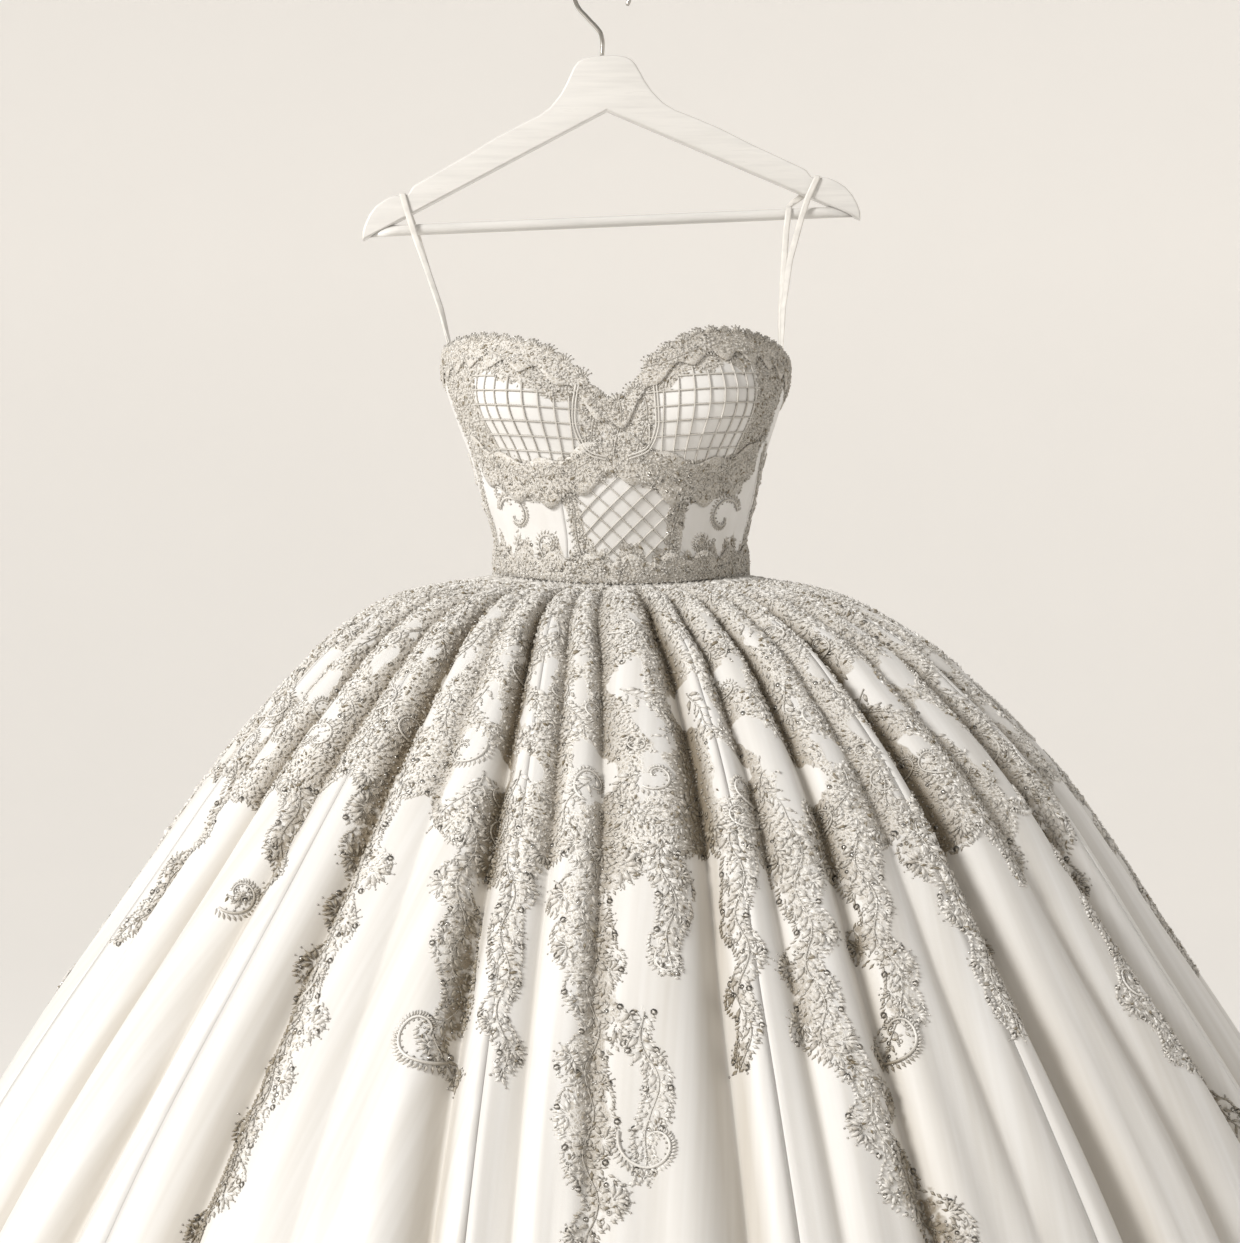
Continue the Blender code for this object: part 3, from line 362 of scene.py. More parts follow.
class GownLace(bpy.types.PropertyGroup):
    """Sizes and colours of the beaded lace."""

    lift: length("Lift", "Height of the lace's underside above the cloth", 0.0002, low=-0.01)
    front_gap: length("Stitch spacing in front", "Between two filling stitches in front", 0.0037)
    back_gap: length("Stitch spacing behind", "Between two filling stitches behind", 0.0062)
    bodice_gap: length("Stitch spacing on the bodice", "Between two filling stitches", 0.003)
    bead: length("Bead", "Diameter of a bead", 0.0024)
    sequin: length("Sequin", "Diameter of a sequin", 0.0048)
    cord: length("Cord", "Radius of the outlining cord", 0.0009)
    seed: IntProperty(name="Seed", description="Start of the random draws", default=7, min=0)
    thread: colour("Thread", "Colour of the lace thread", (0.935, 0.918, 0.885))
    # Dark end of the threads' tone: some threads are darker at random, and painted shade in the folds and on
    # the bodice pulls tones towards it.
    thread_dark_and_shade: colour("Thread in shade", "Colour of the darker threads", (0.255, 0.21, 0.14))
    # Painted shade on the threads: how far a stitch's tone is lowered by the painted shade at its place.
    shade_on_threads: share("Fold shade", "How much darker the threads are deep in the pleats", 0.86)
    bead_colour: colour("Bead", "Colour of the beads", (0.76, 0.735, 0.69))
    sequin_colour: colour("Sequin", "Colour of the sequins", (0.33, 0.31, 0.28))
    net: colour("Net", "Colour of the net between the stitches", (0.69, 0.655, 0.59))
    # Painted shade: the net's colour deep in the pleats, where the folds fall in shade.
    net_crease_shade: colour("Net in the folds", "Colour of the net deep in the pleats", (0.19, 0.142, 0.078))


class GownHanger(bpy.types.PropertyGroup):
    """Sizes and colours of the hanger."""

    edge: length("Edge rounding", "Radius of the hanger's rounded edges", 0.0022)
    wood: colour("Paint", "Colour of the painted wood", (0.8, 0.785, 0.758))
    metal: colour("Metal", "Colour of the hook", (0.56, 0.54, 0.51))


class GownStage(bpy.types.PropertyGroup):
    """Floor, light and camera."""

    floor: colour("Floor", "Colour of the floor and the studio round it", (0.86, 0.835, 0.8))
    key_power: FloatProperty(name="Key light", description="Power of the main light", default=235.0, min=0.0,
                             unit="POWER")
    fill_power: FloatProperty(name="Fill light", description="Power of the fill light", default=12.0, min=0.0,
                              unit="POWER")
    sky: share("Sky", "Strength of the light from all round", 0.34, high=5.0)
    glow: share("Studio glow", "Light that the studio's walls give themselves", 0.32, high=5.0)
    camera: FloatVectorProperty(name="Camera", description="Place of the camera",
                                default=(0.016, -2.2, -0.585), size=3, subtype="TRANSLATION", unit="LENGTH")
    focal: FloatProperty(name="Focal length", description="In pixels of the picture's long side",
                         default=2461.0, min=1.0)


# Shapes shared by the pieces

def unit(vectors):
    """Each vector divided by its length."""
    return vectors / np.maximum(np.linalg.norm(vectors, axis=-1, keepdims=True), 1e-12)


def smooth(places, values, at):
    """Smooth curve through values: a cubic between each two, its slope at each the mean of both sides."""
    gaps = np.diff(places)
    rises = np.diff(values) / gaps
    slopes = np.concatenate([rises[:1], rises[:-1] * gaps[1:] + rises[1:] * gaps[:-1], rises[-1:]])
    slopes[1:-1] /= gaps[1:] + gaps[:-1]
    at = np.clip(at, places[0], places[-1])
    k = np.clip(np.searchsorted(places, at, side="right") - 1, 0, len(gaps) - 1)
    h = gaps[k]
    t = (at - places[k]) / h
    start = values[k] * (1 + 2 * t) * (1 - t) ** 2 + slopes[k] * h * t * (1 - t) ** 2
    return start + values[k + 1] * t * t * (3 - 2 * t) + slopes[k + 1] * h * t * t * (t - 1)


def wrapped(degrees):
    """Angle brought between -180 and 180."""
    return (degrees + 180.0) % 360.0 - 180.0


def rise(value, low, high):
    """Soft step: 0 below low, 1 above high, t*t*(3-2t) between."""
    t = np.clip((value - low) / (high - low), 0.0, 1.0)
    return t * t * (3 - 2 * t)


SKIRT_ARC = np.concatenate([[0.0], np.cumsum(np.hypot(np.diff(SKIRT_OUTLINE[:, 0]),
                                                      np.diff(SKIRT_OUTLINE[:, 1])))])


def valley_angles(s):
    """Angles of all pleat valleys at distances s: straight from the waist's angle to the hem's."""
    part = np.clip(s / PLEAT_SPREAD, 0.0, 1.0)[..., None]
    return PLEATS[:, 0] * (1 - part) + PLEATS[:, 1] * part


def pleat_angle(u, s):
    """Angle (radians) of pleat place u at distance s: straight between two valleys."""
    low = np.floor(u).astype(int)
    part = u - low
    down = np.clip(s / PLEAT_SPREAD, 0.0, 1.0)
    a, b = PLEATS[low % PLEAT_COUNT], PLEATS[(low + 1) % PLEAT_COUNT]
    start = a[..., 0] * (1 - down) + a[..., 1] * down + 360.0 * np.floor_divide(low, PLEAT_COUNT)
    end = b[..., 0] * (1 - down) + b[..., 1] * down + 360.0 * np.floor_divide(low + 1, PLEAT_COUNT)
    return np.radians(start * (1 - part) + end * part)


def pleat_place(degrees, s):
    """Pleat place of an angle at distance s, the inverse of pleat_angle."""
    around = valley_angles(s)
    ring = np.concatenate([around[..., -1:] - 360.0, around, around[..., :1] + 360.0], axis=-1)
    degrees = wrapped(degrees)
    k = np.clip((ring <= degrees[..., None]).sum(axis=-1) - 1, 0, PLEAT_COUNT)
    low = np.take_along_axis(ring, k[..., None], -1)[..., 0]
    high = np.take_along_axis(ring, k[..., None] + 1, -1)[..., 0]
    return k - 1 + (degrees - low) / (high - low)


def pleat_depth(u, s, valley_round):
    """How far the cloth lies inside the outline: depth * (1 - sin(pi*r))^1.4, r the distance to a valley."""
    near = PLEATS[np.round(u).astype(int) % PLEAT_COUNT]
    hip = np.interp(s, PLEAT_GROWTH[:, 0], PLEAT_GROWTH[:, 1])
    low = np.interp(s, PLEAT_GROWTH[:, 0], PLEAT_GROWTH[:, 2])
    reach = np.abs(u - np.round(u))
    reach = np.minimum(np.sqrt(reach * reach + valley_round * valley_round), 0.5)
    return 0.001 * (near[..., 2] * hip + near[..., 3] * low) * (1.0 - np.sin(math.pi * reach)) ** 1.4


def crease_depth(degrees, s, half_width):
    """Depth of the soft creases: a sum of bells across, each faded in and out along its length."""
    depth = np.zeros_like(s)
    for angle, lean, first, last, deep, wide in CREASES:
        middle = angle + lean * (s - first)
        off = np.radians(wrapped(degrees - middle)) * half_width / (0.001 * wide)
        window = rise(s, first, first + 0.22) * (1 - rise(s, last - 0.05, last + 0.10))
        depth = depth + 0.001 * deep * np.exp(-off * off) * window
    return depth


def outline_size(k, s):
    """Height, half width or middle of the skirt's outline at distance s."""
    return smooth(SKIRT_ARC, SKIRT_OUTLINE[:, k], s)


def skirt_outline_point(angle, s):
    """Smooth skirt without pleats: an ellipse in front, flattened against the wall behind."""
    z, half, middle_x = (outline_size(k, s) for k in (0, 1, 2))
    part = (half - SKIRT_OUTLINE[0, 1]) / (SKIRT_OUTLINE[-1, 1] - SKIRT_OUTLINE[0, 1])
    middle = WAIST_MID_Y + (HEM_MID_Y - WAIST_MID_Y) * part
    turn = np.cos(angle)
    behind = np.minimum(FRONT_RATIO * half, WALL_Y - middle)
    y = np.where(turn > 0, middle - FRONT_RATIO * half * turn,
                 middle + behind * (1 - (1 - np.abs(turn)) ** 1.6))
    x = middle_x + half * np.sin(angle)
    z = z - WAIST_DIP * np.maximum(turn, 0.0) ** 2 * np.exp(-s / 0.10)
    return np.stack([x, y, z], axis=-1)


def skirt_point(u, s):
    """Pleated and creased skirt: the smooth point moved in along the smooth surface's normal."""
    cloth = bpy.context.scene.gown_cloth
    angle = pleat_angle(u, s)
    base = skirt_outline_point(angle, s)
    across = skirt_outline_point(angle + 0.01, s) - skirt_outline_point(angle - 0.01, s)
    down = skirt_outline_point(angle, s + 0.004) - skirt_outline_point(angle, np.maximum(s - 0.004, 0))
    inward = unit(np.cross(across, down))
    depth = pleat_depth(u, s, cloth.valley_round)
    depth = depth + cloth.crease_depth * crease_depth(np.degrees(angle), s, outline_size(1, s))
    return base + inward * depth[..., None]


def skirt_at(degrees, s):
    """Pleated skirt at an angle in degrees and a distance."""
    s = np.clip(s, 0.001, SKIRT_LENGTH)
    return skirt_point(pleat_place(degrees, s), s)


def bodice_at(degrees, down):
    """Bodice's outer face at an angle and a depth below the hook: an oval section and two cups."""
    z = -down
    angle = np.radians(degrees)
    half, front, back, middle_x = (smooth(BODICE_SECTIONS[:, 0], BODICE_SECTIONS[:, k], z)
                                   for k in (1, 2, 3, 4))
    turn = np.cos(angle)
    depth = np.where(turn > 0, BODICE_MID_Y - front, back - BODICE_MID_Y)
    bump = np.zeros_like(half + turn)
    for side in (-1, 1):
        off = (wrapped(degrees) - side * CUP_ANGLE) / CUP_WIDE
        up = (z - CUP_Z) / CUP_TALL
        bump = bump + CUP_OUT * np.exp(-off * off - up * up)
    x = middle_x + (half + bump) * np.sin(angle)
    y = BODICE_MID_Y - (depth + bump) * turn
    return np.stack([x, y, z + 0 * x], axis=-1)


def squared(across, down):
    """Unit directions across and down, square to each other, and the outward normal."""
    b = unit(down)
    t = unit(across - b * np.sum(across * b, axis=-1, keepdims=True))
    return t, b, np.cross(b, t)


def frames(surface, degrees, v):
    """Point, direction across, direction down and outward normal of a surface, by central differences."""
    across = surface(degrees + STEP_ACROSS, v) - surface(degrees - STEP_ACROSS, v)
    down = surface(degrees, v + STEP_DOWN) - surface(degrees, v - STEP_DOWN)
    return surface(degrees, v), *squared(across, down)


# Mesh making

def in_scene(name, data):
    """New object in the scene itself."""
    item = bpy.data.objects.new(name, data)
    bpy.context.scene.collection.objects.link(item)
    return item


def place_in_scene(mesh, name):
    """Object of a mesh, in the gown's collection and riding on the frame's body."""
    group = bpy.data.collections.get(COLLECTION)
    if group is None:
        group = bpy.data.collections.new(COLLECTION)
        bpy.context.scene.collection.children.link(group)
    item = bpy.data.objects.new(name, mesh)
    group.objects.link(item)
    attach(item, BODY)
    return item


def ring_quads(rings, sides, turned=False):
    """Corners of the faces between rings of points, turned round where the rings run the other way."""
    i = np.arange(rings - 1)[:, None] * sides
    j = np.arange(sides)[None]
    other = (j + 1) % sides
    corners = [i + j, i + other, i + sides + other, i + sides + j]
    return np.stack(corners[:1] + corners[:0:-1] if turned else corners, axis=-1).reshape(-1, 4)


def fill_mesh(name, points, faces, corners, smooth_faces=None, slots=None):
    """Mesh from an array of points, a flat array of corners and the count of corners of each face."""
    mesh = bpy.data.meshes.new(name)
    mesh.vertices.add(len(points))
    mesh.vertices.foreach_set("co", np.asarray(points, np.float32).ravel())
    mesh.loops.add(len(faces))
    mesh.loops.foreach_set("vertex_index", np.asarray(faces, np.int32))
    starts = np.concatenate([[0], np.cumsum(corners)[:-1]])
    mesh.polygons.add(len(corners))
    mesh.polygons.foreach_set("loop_start", np.asarray(starts, np.int32))
    if slots is not None:
        mesh.polygons.foreach_set("material_index", np.asarray(slots, np.int32))
    flat = np.ones(len(corners), bool) if smooth_faces is None else smooth_faces
    mesh.polygons.foreach_set("use_smooth", flat)
    mesh.update(calc_edges=True)
    return mesh


def point_attribute(mesh, name, values):
    """Number for each point, which a material reads."""
    layer = mesh.attributes.new(name, "FLOAT", "POINT")
    layer.data.foreach_set("value", np.asarray(values, np.float32))


def uv_map(mesh, uv):
    """UV map in metres along the cloth, from a value for each point."""
    corner = np.empty(len(mesh.loops), np.int32)
    mesh.loops.foreach_get("vertex_index", corner)
    layer = mesh.uv_layers.new(name="cloth")
    layer.data.foreach_set("uv", np.asarray(uv, np.float32)[corner].ravel())


def shell(name, outer, inner, uv, values=None):
    """Closed wall between two grids: outer faces, inner faces turned round, and a flat rim between."""
    n, m = outer.shape[:2]
    index = np.arange(n * m).reshape(n, m)
    a, b, c, d = index[:-1, :-1], index[1:, :-1], index[1:, 1:], index[:-1, 1:]
    front = np.stack([a, d, c, b], axis=-1).reshape(-1, 4)
    back = front[:, ::-1] + n * m
    rims = [np.stack([edge[:-1], edge[1:], edge[1:] + n * m, edge[:-1] + n * m], axis=-1)
            for edge in (index[:, 0], index[-1, :], index[::-1, -1], index[0, ::-1])]
    faces = np.concatenate([front, back, *rims])
    smooth_faces = np.arange(len(faces)) < 2 * len(front)
    points = np.concatenate([outer.reshape(-1, 3), inner.reshape(-1, 3)])
    mesh = fill_mesh(name, points, faces.ravel(), np.full(len(faces), 4), smooth_faces)
    uv_map(mesh, np.concatenate([uv.reshape(-1, 2)] * 2))
    for key, value in (values or {}).items():
        point_attribute(mesh, key, np.concatenate([value.ravel()] * 2))
    return place_in_scene(mesh, name)


def along(points, axis):
    """Distance run along an axis of a grid of points."""
    steps = np.linalg.norm(np.diff(points, axis=axis), axis=-1)
    zero = np.zeros_like(np.take(steps, [0], axis=axis))
    return np.concatenate([zero, np.cumsum(steps, axis=axis)], axis=axis)


def grid_normals(points, before, after):
    """Outward normals of a grid, with a column added on each side for the differences."""
    wide = np.concatenate([before[None], points, after[None]])
    return unit(np.cross(np.gradient(points, axis=1), wide[2:] - wide[:-2]))


def one_sided_area(item):
    """Area of one face of a closed cloth wall."""
    areas = np.empty(len(item.data.polygons))
    item.data.polygons.foreach_get("area", areas)
    return float(areas.sum() / 2)


# Embroidery: small closed shapes set on the cloth

def turns(count):
    """Angles of a count of points round a circle."""
    return 2 * math.pi * np.arange(count) / count


def circle(count, reach, high):
    """Points round a circle at a height."""
    turn = turns(count)
    return np.stack([reach * np.cos(turn), reach * np.sin(turn), np.full(count, high)], axis=-1)


def lens(sides, high=1.0):
    """Closed bead or petal on a flat base: a ring half a unit long and wide, and one point above."""
    k = np.arange(sides)
    top = np.stack([k, (k + 1) % sides, np.full(sides, sides)], axis=-1)
    under = np.stack([np.zeros(sides - 2, int), k[2:], k[1:-1]], axis=-1)
    return np.concatenate([circle(sides, 0.5, -0.2), [[0.02, 0, high]]]), np.concatenate([top, under])


def leaf_shape():
    """Closed leaf with a groove down its middle: an outline of six points, two crowns and the groove."""
    points = [(-0.5, 0, -0.1), (-0.15, -0.38, -0.1), (0.25, -0.27, -0.1), (0.5, 0, -0.1), (0.25, 0.27, -0.1),
              (-0.15, 0.38, -0.1), (0.0, -0.19, 1.0), (0.0, 0.19, 1.0), (0.0, 0.0, 0.35)]
    faces = [(0, 1, 6), (1, 2, 6), (2, 3, 6), (3, 8, 6), (8, 0, 6), (3, 4, 7), (4, 5, 7), (5, 0, 7),
             (0, 8, 7), (8, 3, 7), (0, 2, 1), (0, 3, 2), (0, 4, 3), (0, 5, 4)]
    return np.array(points), np.array(faces)


def sequin_shape():
    """Thin cupped disc of seven points, sunk in the middle."""
    k = np.arange(7)
    above = np.stack([k, (k + 1) % 7, np.full(7, 7)], axis=-1)
    below = np.stack([(k + 1) % 7, k, np.full(7, 8)], axis=-1)
    points = [circle(7, 0.5, 0.30), [[0, 0, 0.12], [0, 0, -0.05]]]
    return np.concatenate(points), np.concatenate([above, below])


def loop_shape():
    """Small ring of cord: a three-sided section carried round a circle in six steps."""
    points = [circle(6, 0.5, 0.1), circle(6, 0.30, 0.1), circle(6, 0.40, 0.6)]
    k = np.arange(6)
    other = (k + 1) % 6
    faces = []
    for one, two in ((0, 2), (2, 1), (1, 0)):
        faces.append(np.stack([6 * one + k, 6 * one + other, 6 * two + other], axis=-1))
        faces.append(np.stack([6 * one + k, 6 * two + other, 6 * two + k], axis=-1))
    return np.concatenate(points), np.concatenate(faces)


SHAPES = {
    "bead": lens(5, 0.62),
    "petal": lens(4),
    "leaf": leaf_shape(),
    "sequin": sequin_shape(),
    "loop": loop_shape(),
}
SHAPE_SLOT = {"petal": 0, "leaf": 0, "loop": 0, "cord": 0, "bead": 1, "sequin": 2}

# Filling, columns: shape, first and last share of the draws, length, width and height for one spacing
FILLING = (
    ("petal", 0.00, 0.60, 1.42, 0.54, 0.44), ("bead", 0.60, 0.84, 0.58, 0.58, 0.42),
    ("loop", 0.84, 0.89, 1.05, 1.05, 0.34), ("leaf", 0.89, 0.965, 1.90, 0.85, 0.38),
    ("sequin", 0.965, 1.01, 0.95, 0.95, 0.30),
)


class Embroidery:
    """Gathers small shapes and cords as arrays, and makes one mesh of them."""

    def __init__(self):
        self.points, self.faces, self.slots, self.tones, self.count = [], [], [], [], 0

    def add(self, points, faces, slot, tones):
        """Takes points (N, K, 3), the faces of one shape and a tone for each of the N."""
        n, k = points.shape[:2]
        if n == 0:
            return
        every = faces[None] + (self.count + k * np.arange(n))[:, None, None]
        self.points.append(points.reshape(-1, 3))
        self.faces.append(every.reshape(-1, 3))
        self.slots.append(np.full(n * len(faces), slot))
        self.tones.append(np.broadcast_to(np.asarray(tones).reshape(n, -1), (n, k)).ravel())
        self.count += n * k

    def stitches(self, kind, where, turn, long, wide, high, tones, lift=0.0, tilt=0.0):
        """Sets a shape at each frame: long and wide along the cloth, turned, high along the normal."""
        shape, faces = SHAPES[kind]
        point, t, b, n = where
        c, s = np.cos(turn)[:, None], np.sin(turn)[:, None]
        x = c * t + s * b
        y = c * b - s * t
        x = unit(x + n * np.asarray(tilt).reshape(-1, 1))
        ones = np.ones(len(point))
        local = shape[None] * np.stack([long * ones, wide * ones, high * ones], axis=-1)[:, None, :]
        points = point[:, None] + local[..., :1] * x[:, None] - local[..., 1:2] * y[:, None]
        points = points + (local[..., 2:] + lift) * n[:, None]
        self.add(points, faces, SHAPE_SLOT[kind], tones)

    def cords(self, paths, normals, radius, tones, sides=5):
        """Round cords along paths (N, K, 3), a tone for each step: a ring at each, and a cap at each end."""
        n, k = paths.shape[:2]
        if n == 0:
            return
        ahead = unit(np.gradient(paths, axis=1))
        side = unit(np.cross(ahead, normals))
        up = np.cross(side, ahead)
        turn = turns(sides)[:, None]
        radius = np.broadcast_to(radius, (n, k))[..., None, None]
        rings = paths[:, :, None] + (np.cos(turn) * side[:, :, None] + np.sin(turn) * up[:, :, None]) * radius
        points = np.concatenate([rings.reshape(n, -1, 3), paths[:, :1], paths[:, -1:]], axis=1)
        quads = ring_quads(k, sides)
        j = np.arange(sides)
        other = (j + 1) % sides
        last = (k - 1) * sides
        start = np.stack([np.full(sides, k * sides), j, other], axis=-1)
        end = np.stack([np.full(sides, k * sides + 1), last + other, last + j], axis=-1)
        tones = np.concatenate([np.repeat(tones, sides, axis=1), tones[:, :1], tones[:, -1:]], axis=1)
        faces = np.concatenate([quads[:, [0, 3, 2]], quads[:, [0, 2, 1]], start, end])
        self.add(points, faces, SHAPE_SLOT["cord"], tones)

    def make(self, name):
        """Object of everything gathered, in thread, beads and sequins."""
        points = np.concatenate(self.points)
        faces = np.concatenate(self.faces)
        slots = np.concatenate(self.slots)
        mesh = fill_mesh(name, points, faces.ravel(), np.full(len(faces), 3), slots=slots)
        point_attribute(mesh, "tone", np.concatenate(self.tones))
        for item in (thread_material(), bead_material(), sequin_material()):
            mesh.materials.append(item)
        return place_in_scene(mesh, name)


class Chart:
    """Table of a surface over angle and distance, read between its points along straight lines."""

    def __init__(self, surface, low, high, columns, rows, painted_shade=None):
        self.low, self.high, self.columns, self.rows = low, high, columns, rows
        a, v = np.meshgrid(np.linspace(-180.0, 180.0, columns), np.linspace(low, high, rows), indexing="ij")
        point = surface(a, v)
        across, down = np.gradient(point, axis=0), np.gradient(point, axis=1)
        k = max(int(1.5 * (columns - 1) / 360.0), 1)
        wide = np.roll(point, -k, axis=0) - np.roll(point, k, axis=0)
        per_degree = np.linalg.norm(wide, axis=-1, keepdims=True) * (columns - 1) / (360.0 * 2 * k)
        per_metre = np.linalg.norm(down, axis=-1, keepdims=True) * (rows - 1) / (high - low)
        # Painted shade at each place, from the function given, else none.
        depth = np.zeros_like(per_metre) if painted_shade is None else painted_shade(a, v)[..., None]
        self.table = np.concatenate([point, *squared(across, down), per_degree, per_metre, depth], axis=-1)

    def read(self, degrees, v):
        """Point, directions across and down, outward normal, metres to a degree and to a metre, and painted
        shade.
        """
        x = (wrapped(degrees) + 180.0) / 360.0 * (self.columns - 1)
        y = (np.clip(v, self.low, self.high) - self.low) / (self.high - self.low) * (self.rows - 1)
        i, j = np.minimum(x.astype(int), self.columns - 2), np.minimum(y.astype(int), self.rows - 2)
        x, y = (x - i)[..., None], (y - j)[..., None]
        one = self.table[i, j] * (1 - y) + self.table[i, j + 1] * y
        two = self.table[i + 1, j] * (1 - y) + self.table[i + 1, j + 1] * y
        return one * (1 - x) + two * x

    def laid(self, degrees, v, right, below):
        """Place of points that lie right and below their anchors, measured along the cloth."""
        found = self.read(degrees, v)
        return degrees + right / np.maximum(found[..., 12], 1e-4), v + below / np.maximum(found[..., 13], 0.3)


def run_along(points):
    """Distance run along a line of points."""
    return np.concatenate([[0.0], np.cumsum(np.linalg.norm(np.diff(points, axis=0), axis=1))])


class Needle:
    """Sews shapes and cords on a charted surface, each on the layer that owns its place."""

    def __init__(self, chart, layers, owner_of, seed):
        self.chart, self.layers, self.owner_of = chart, layers, owner_of
        self.rng = np.random.default_rng(seed)
        self.lace = bpy.context.scene.gown_lace

    def sew(self, kind, degrees, v, turn, long, wide, high, tones, tilt=0.0):
        """Sets a shape at each place: long and wide along the cloth, turned, high along the normal."""
        found = self.chart.read(degrees, v)
        n = len(found)
        if n == 0:
            return
        owner = self.owner_of(degrees, v)
        turn, long, wide, high, tilt, tones = (np.broadcast_to(x, n)
                                               for x in (turn, long, wide, high, tilt, tones))
        # Painted shade: each tone is lowered by the painted shade that the chart holds at the stitch's place.
        tones = tones * (1 - self.lace.shade_on_threads * found[:, 14])
        for k in np.unique(owner):
            pick = owner == k
            where = [found[pick, i:i + 3] for i in (0, 3, 6, 9)]
            self.layers[k].stitches(kind, where, turn[pick], long[pick], wide[pick], high[pick], tones[pick],
                                    self.lace.lift, tilt[pick])

    def spread(self, kind, degrees, v, reach, turn, long, wide, high, tones, tilt=0.0):
        """Shapes at a reach from their anchors, each turned to point away."""
        a, d = self.chart.laid(degrees, v, reach * np.cos(turn), reach * np.sin(turn))
        self.sew(kind, a, d, turn, long, wide, high, tones, tilt)

    def cord(self, degrees, v, radius, tone=0.9, shift=0.0, sides=4):
        """Cord along a path, moved sideways by the shift and cut where it passes to another layer."""
        found = self.chart.read(degrees, v)
        normal = found[:, 9:12]
        radius = np.broadcast_to(radius, len(v))
        ahead = unit(np.gradient(found[:, :3], axis=0))
        point = found[:, :3] + normal * (0.8 * radius + self.lace.lift)[:, None]
        point = point + np.cross(ahead, normal) * shift
        # Painted shade: the cord's tone is lowered by the painted shade along its path.
        tones = tone * (1 - self.lace.shade_on_threads * found[:, 14])
        owner = self.owner_of(degrees, v)
        cuts = np.concatenate([[0], np.flatnonzero(np.diff(owner)) + 1, [len(v)]])
        for first, last in zip(cuts[:-1], cuts[1:]):
            part = slice(first, min(last + 1, len(v)))
            if part.stop - first > 1:
                self.layers[owner[first]].cords(point[None, part], normal[None, part], radius[None, part],
                                                tones[None, part], sides)

    def beads(self, degrees, v, gap, size, low=0.2):
        """Row of beads along a path, a gap apart."""
        run = run_along(self.chart.read(degrees, v)[:, :3])
        marks = np.arange(0.0, run[-1], gap)
        a, d = np.interp(marks, run, degrees), np.interp(marks, run, v)
        self.sew("bead", a, d, 0.0, size, size, 0.85 * size, self.rng.uniform(low, 1.0, len(marks)))

    def vine(self, degrees, v, leaf):
        """Vine along a path: a cord, leaves on both sides with a bead at each tip, and beads on the cord."""
        found = self.chart.read(degrees, v)
        run = run_along(found[:, :3])
        ahead = np.arctan2(np.gradient(v) * found[:, 13], np.gradient(degrees) * found[:, 12])
        self.cord(degrees, v, 0.5 * self.lace.cord, 0.75, sides=3)
        bead = self.lace.bead
        for side in (-1.0, 1.0):
            marks = np.arange((0.4 + 0.2 * side) * leaf, run[-1], 0.85 * leaf)
            n = len(marks)
            size = leaf * (1 - 0.35 * marks / run[-1]) * self.rng.uniform(0.85, 1.15, n)
            turn = np.interp(marks, run, ahead) + side * self.rng.uniform(0.65, 0.95, n)
            a, d = np.interp(marks, run, degrees), np.interp(marks, run, v)
            self.spread("leaf", a, d, 0.5 * size + 0.001, turn, size, 0.50 * size, 0.16 * size,
                        self.rng.uniform(0.7, 1.0, n), 0.06)
            self.spread("bead", a, d, size + 0.002, turn, bead, bead, 0.8 * bead,
                        self.rng.uniform(0.2, 1.0, n))
        self.beads(degrees, v, 1.6 * bead, 0.85 * bead)

    def curl(self, degree, v, radius, hand, start):
        """Scroll: a cord on the open spiral r = R (1.15 - 0.95 t), petals outside it and beads inside."""
        def spiral(t, off):
            turn = math.radians(start) + hand * 1.85 * math.pi * t
            reach = radius * (1.15 - 0.95 * t) + off
            a, d = self.chart.laid(degree + 0 * t, v + 0 * t, reach * np.cos(turn), reach * np.sin(turn))
            return a, d, turn
        t = np.linspace(0.0, 1.0, 28)
        a, d, _ = spiral(t, 0.0)
        self.cord(a, d, self.lace.cord * (0.45 + 38 * radius) * (1.1 - 0.5 * t))
        t = np.linspace(0.0, 0.88, int(radius / 0.00055))
        size = (0.0042 + 0.10 * radius) * (1 - 0.5 * t)
        a, d, turn = spiral(t, 0.62 * size)
        turn = turn + hand * self.rng.uniform(0.2, 0.9, len(t))
        self.sew("petal", a, d, turn, 1.30 * size, 0.50 * size, 0.36 * size,
                 self.rng.uniform(0.6, 1.0, len(t)), 0.1)
        t = np.linspace(0.05, 0.95, int(radius / 0.0012))
        a, d, _ = spiral(t, -0.0022)
        size = 0.85 * self.lace.bead
        self.sew("bead", a, d, 0.0, size, size, size, self.rng.uniform(0.0, 1.0, len(t)))

    def blossoms(self, degrees, v, radius):
        """Flowers: six petals round a ring of beads and a larger bead in the middle."""
        n, bead = len(degrees), self.lace.bead
        start = self.rng.uniform(0.0, 2 * math.pi, n)
        for k in range(6):
            turn = start + k * math.pi / 3
            self.spread("leaf", degrees, v, 0.60 * radius, turn, 0.86 * radius, 0.50 * radius, 0.20 * radius,
                        self.rng.uniform(0.75, 1.0, n), 0.12)
            if k % 2:
                self.spread("bead", degrees, v, 0.28 * radius, turn + 0.5, 0.7 * bead, 0.7 * bead, 1.4 * bead,
                            self.rng.uniform(0.1, 0.8, n))
        self.sew("bead", degrees, v, 0.0, 1.2 * bead, 1.2 * bead, 1.5 * bead, 0.9)

    def fans(self, degrees, v, radius, ahead, petals=7):
        """Scallops: petals spread over a half circle round the way ahead, and beads at their tips."""
        n, bead = len(degrees), self.lace.bead
        for k in range(petals):
            turn = ahead + (k - (petals - 1) / 2) * math.radians(180 / petals)
            self.spread("petal", degrees, v, 0.55 * radius, turn, 0.92 * radius, 0.30 * radius, 0.22 * radius,
                        self.rng.uniform(0.6, 1.0, n), 0.08)
            self.spread("bead", degrees, v, 1.06 * radius, turn, 0.8 * bead, 0.8 * bead, 0.7 * bead,
                        self.rng.uniform(0.1, 1.0, n))

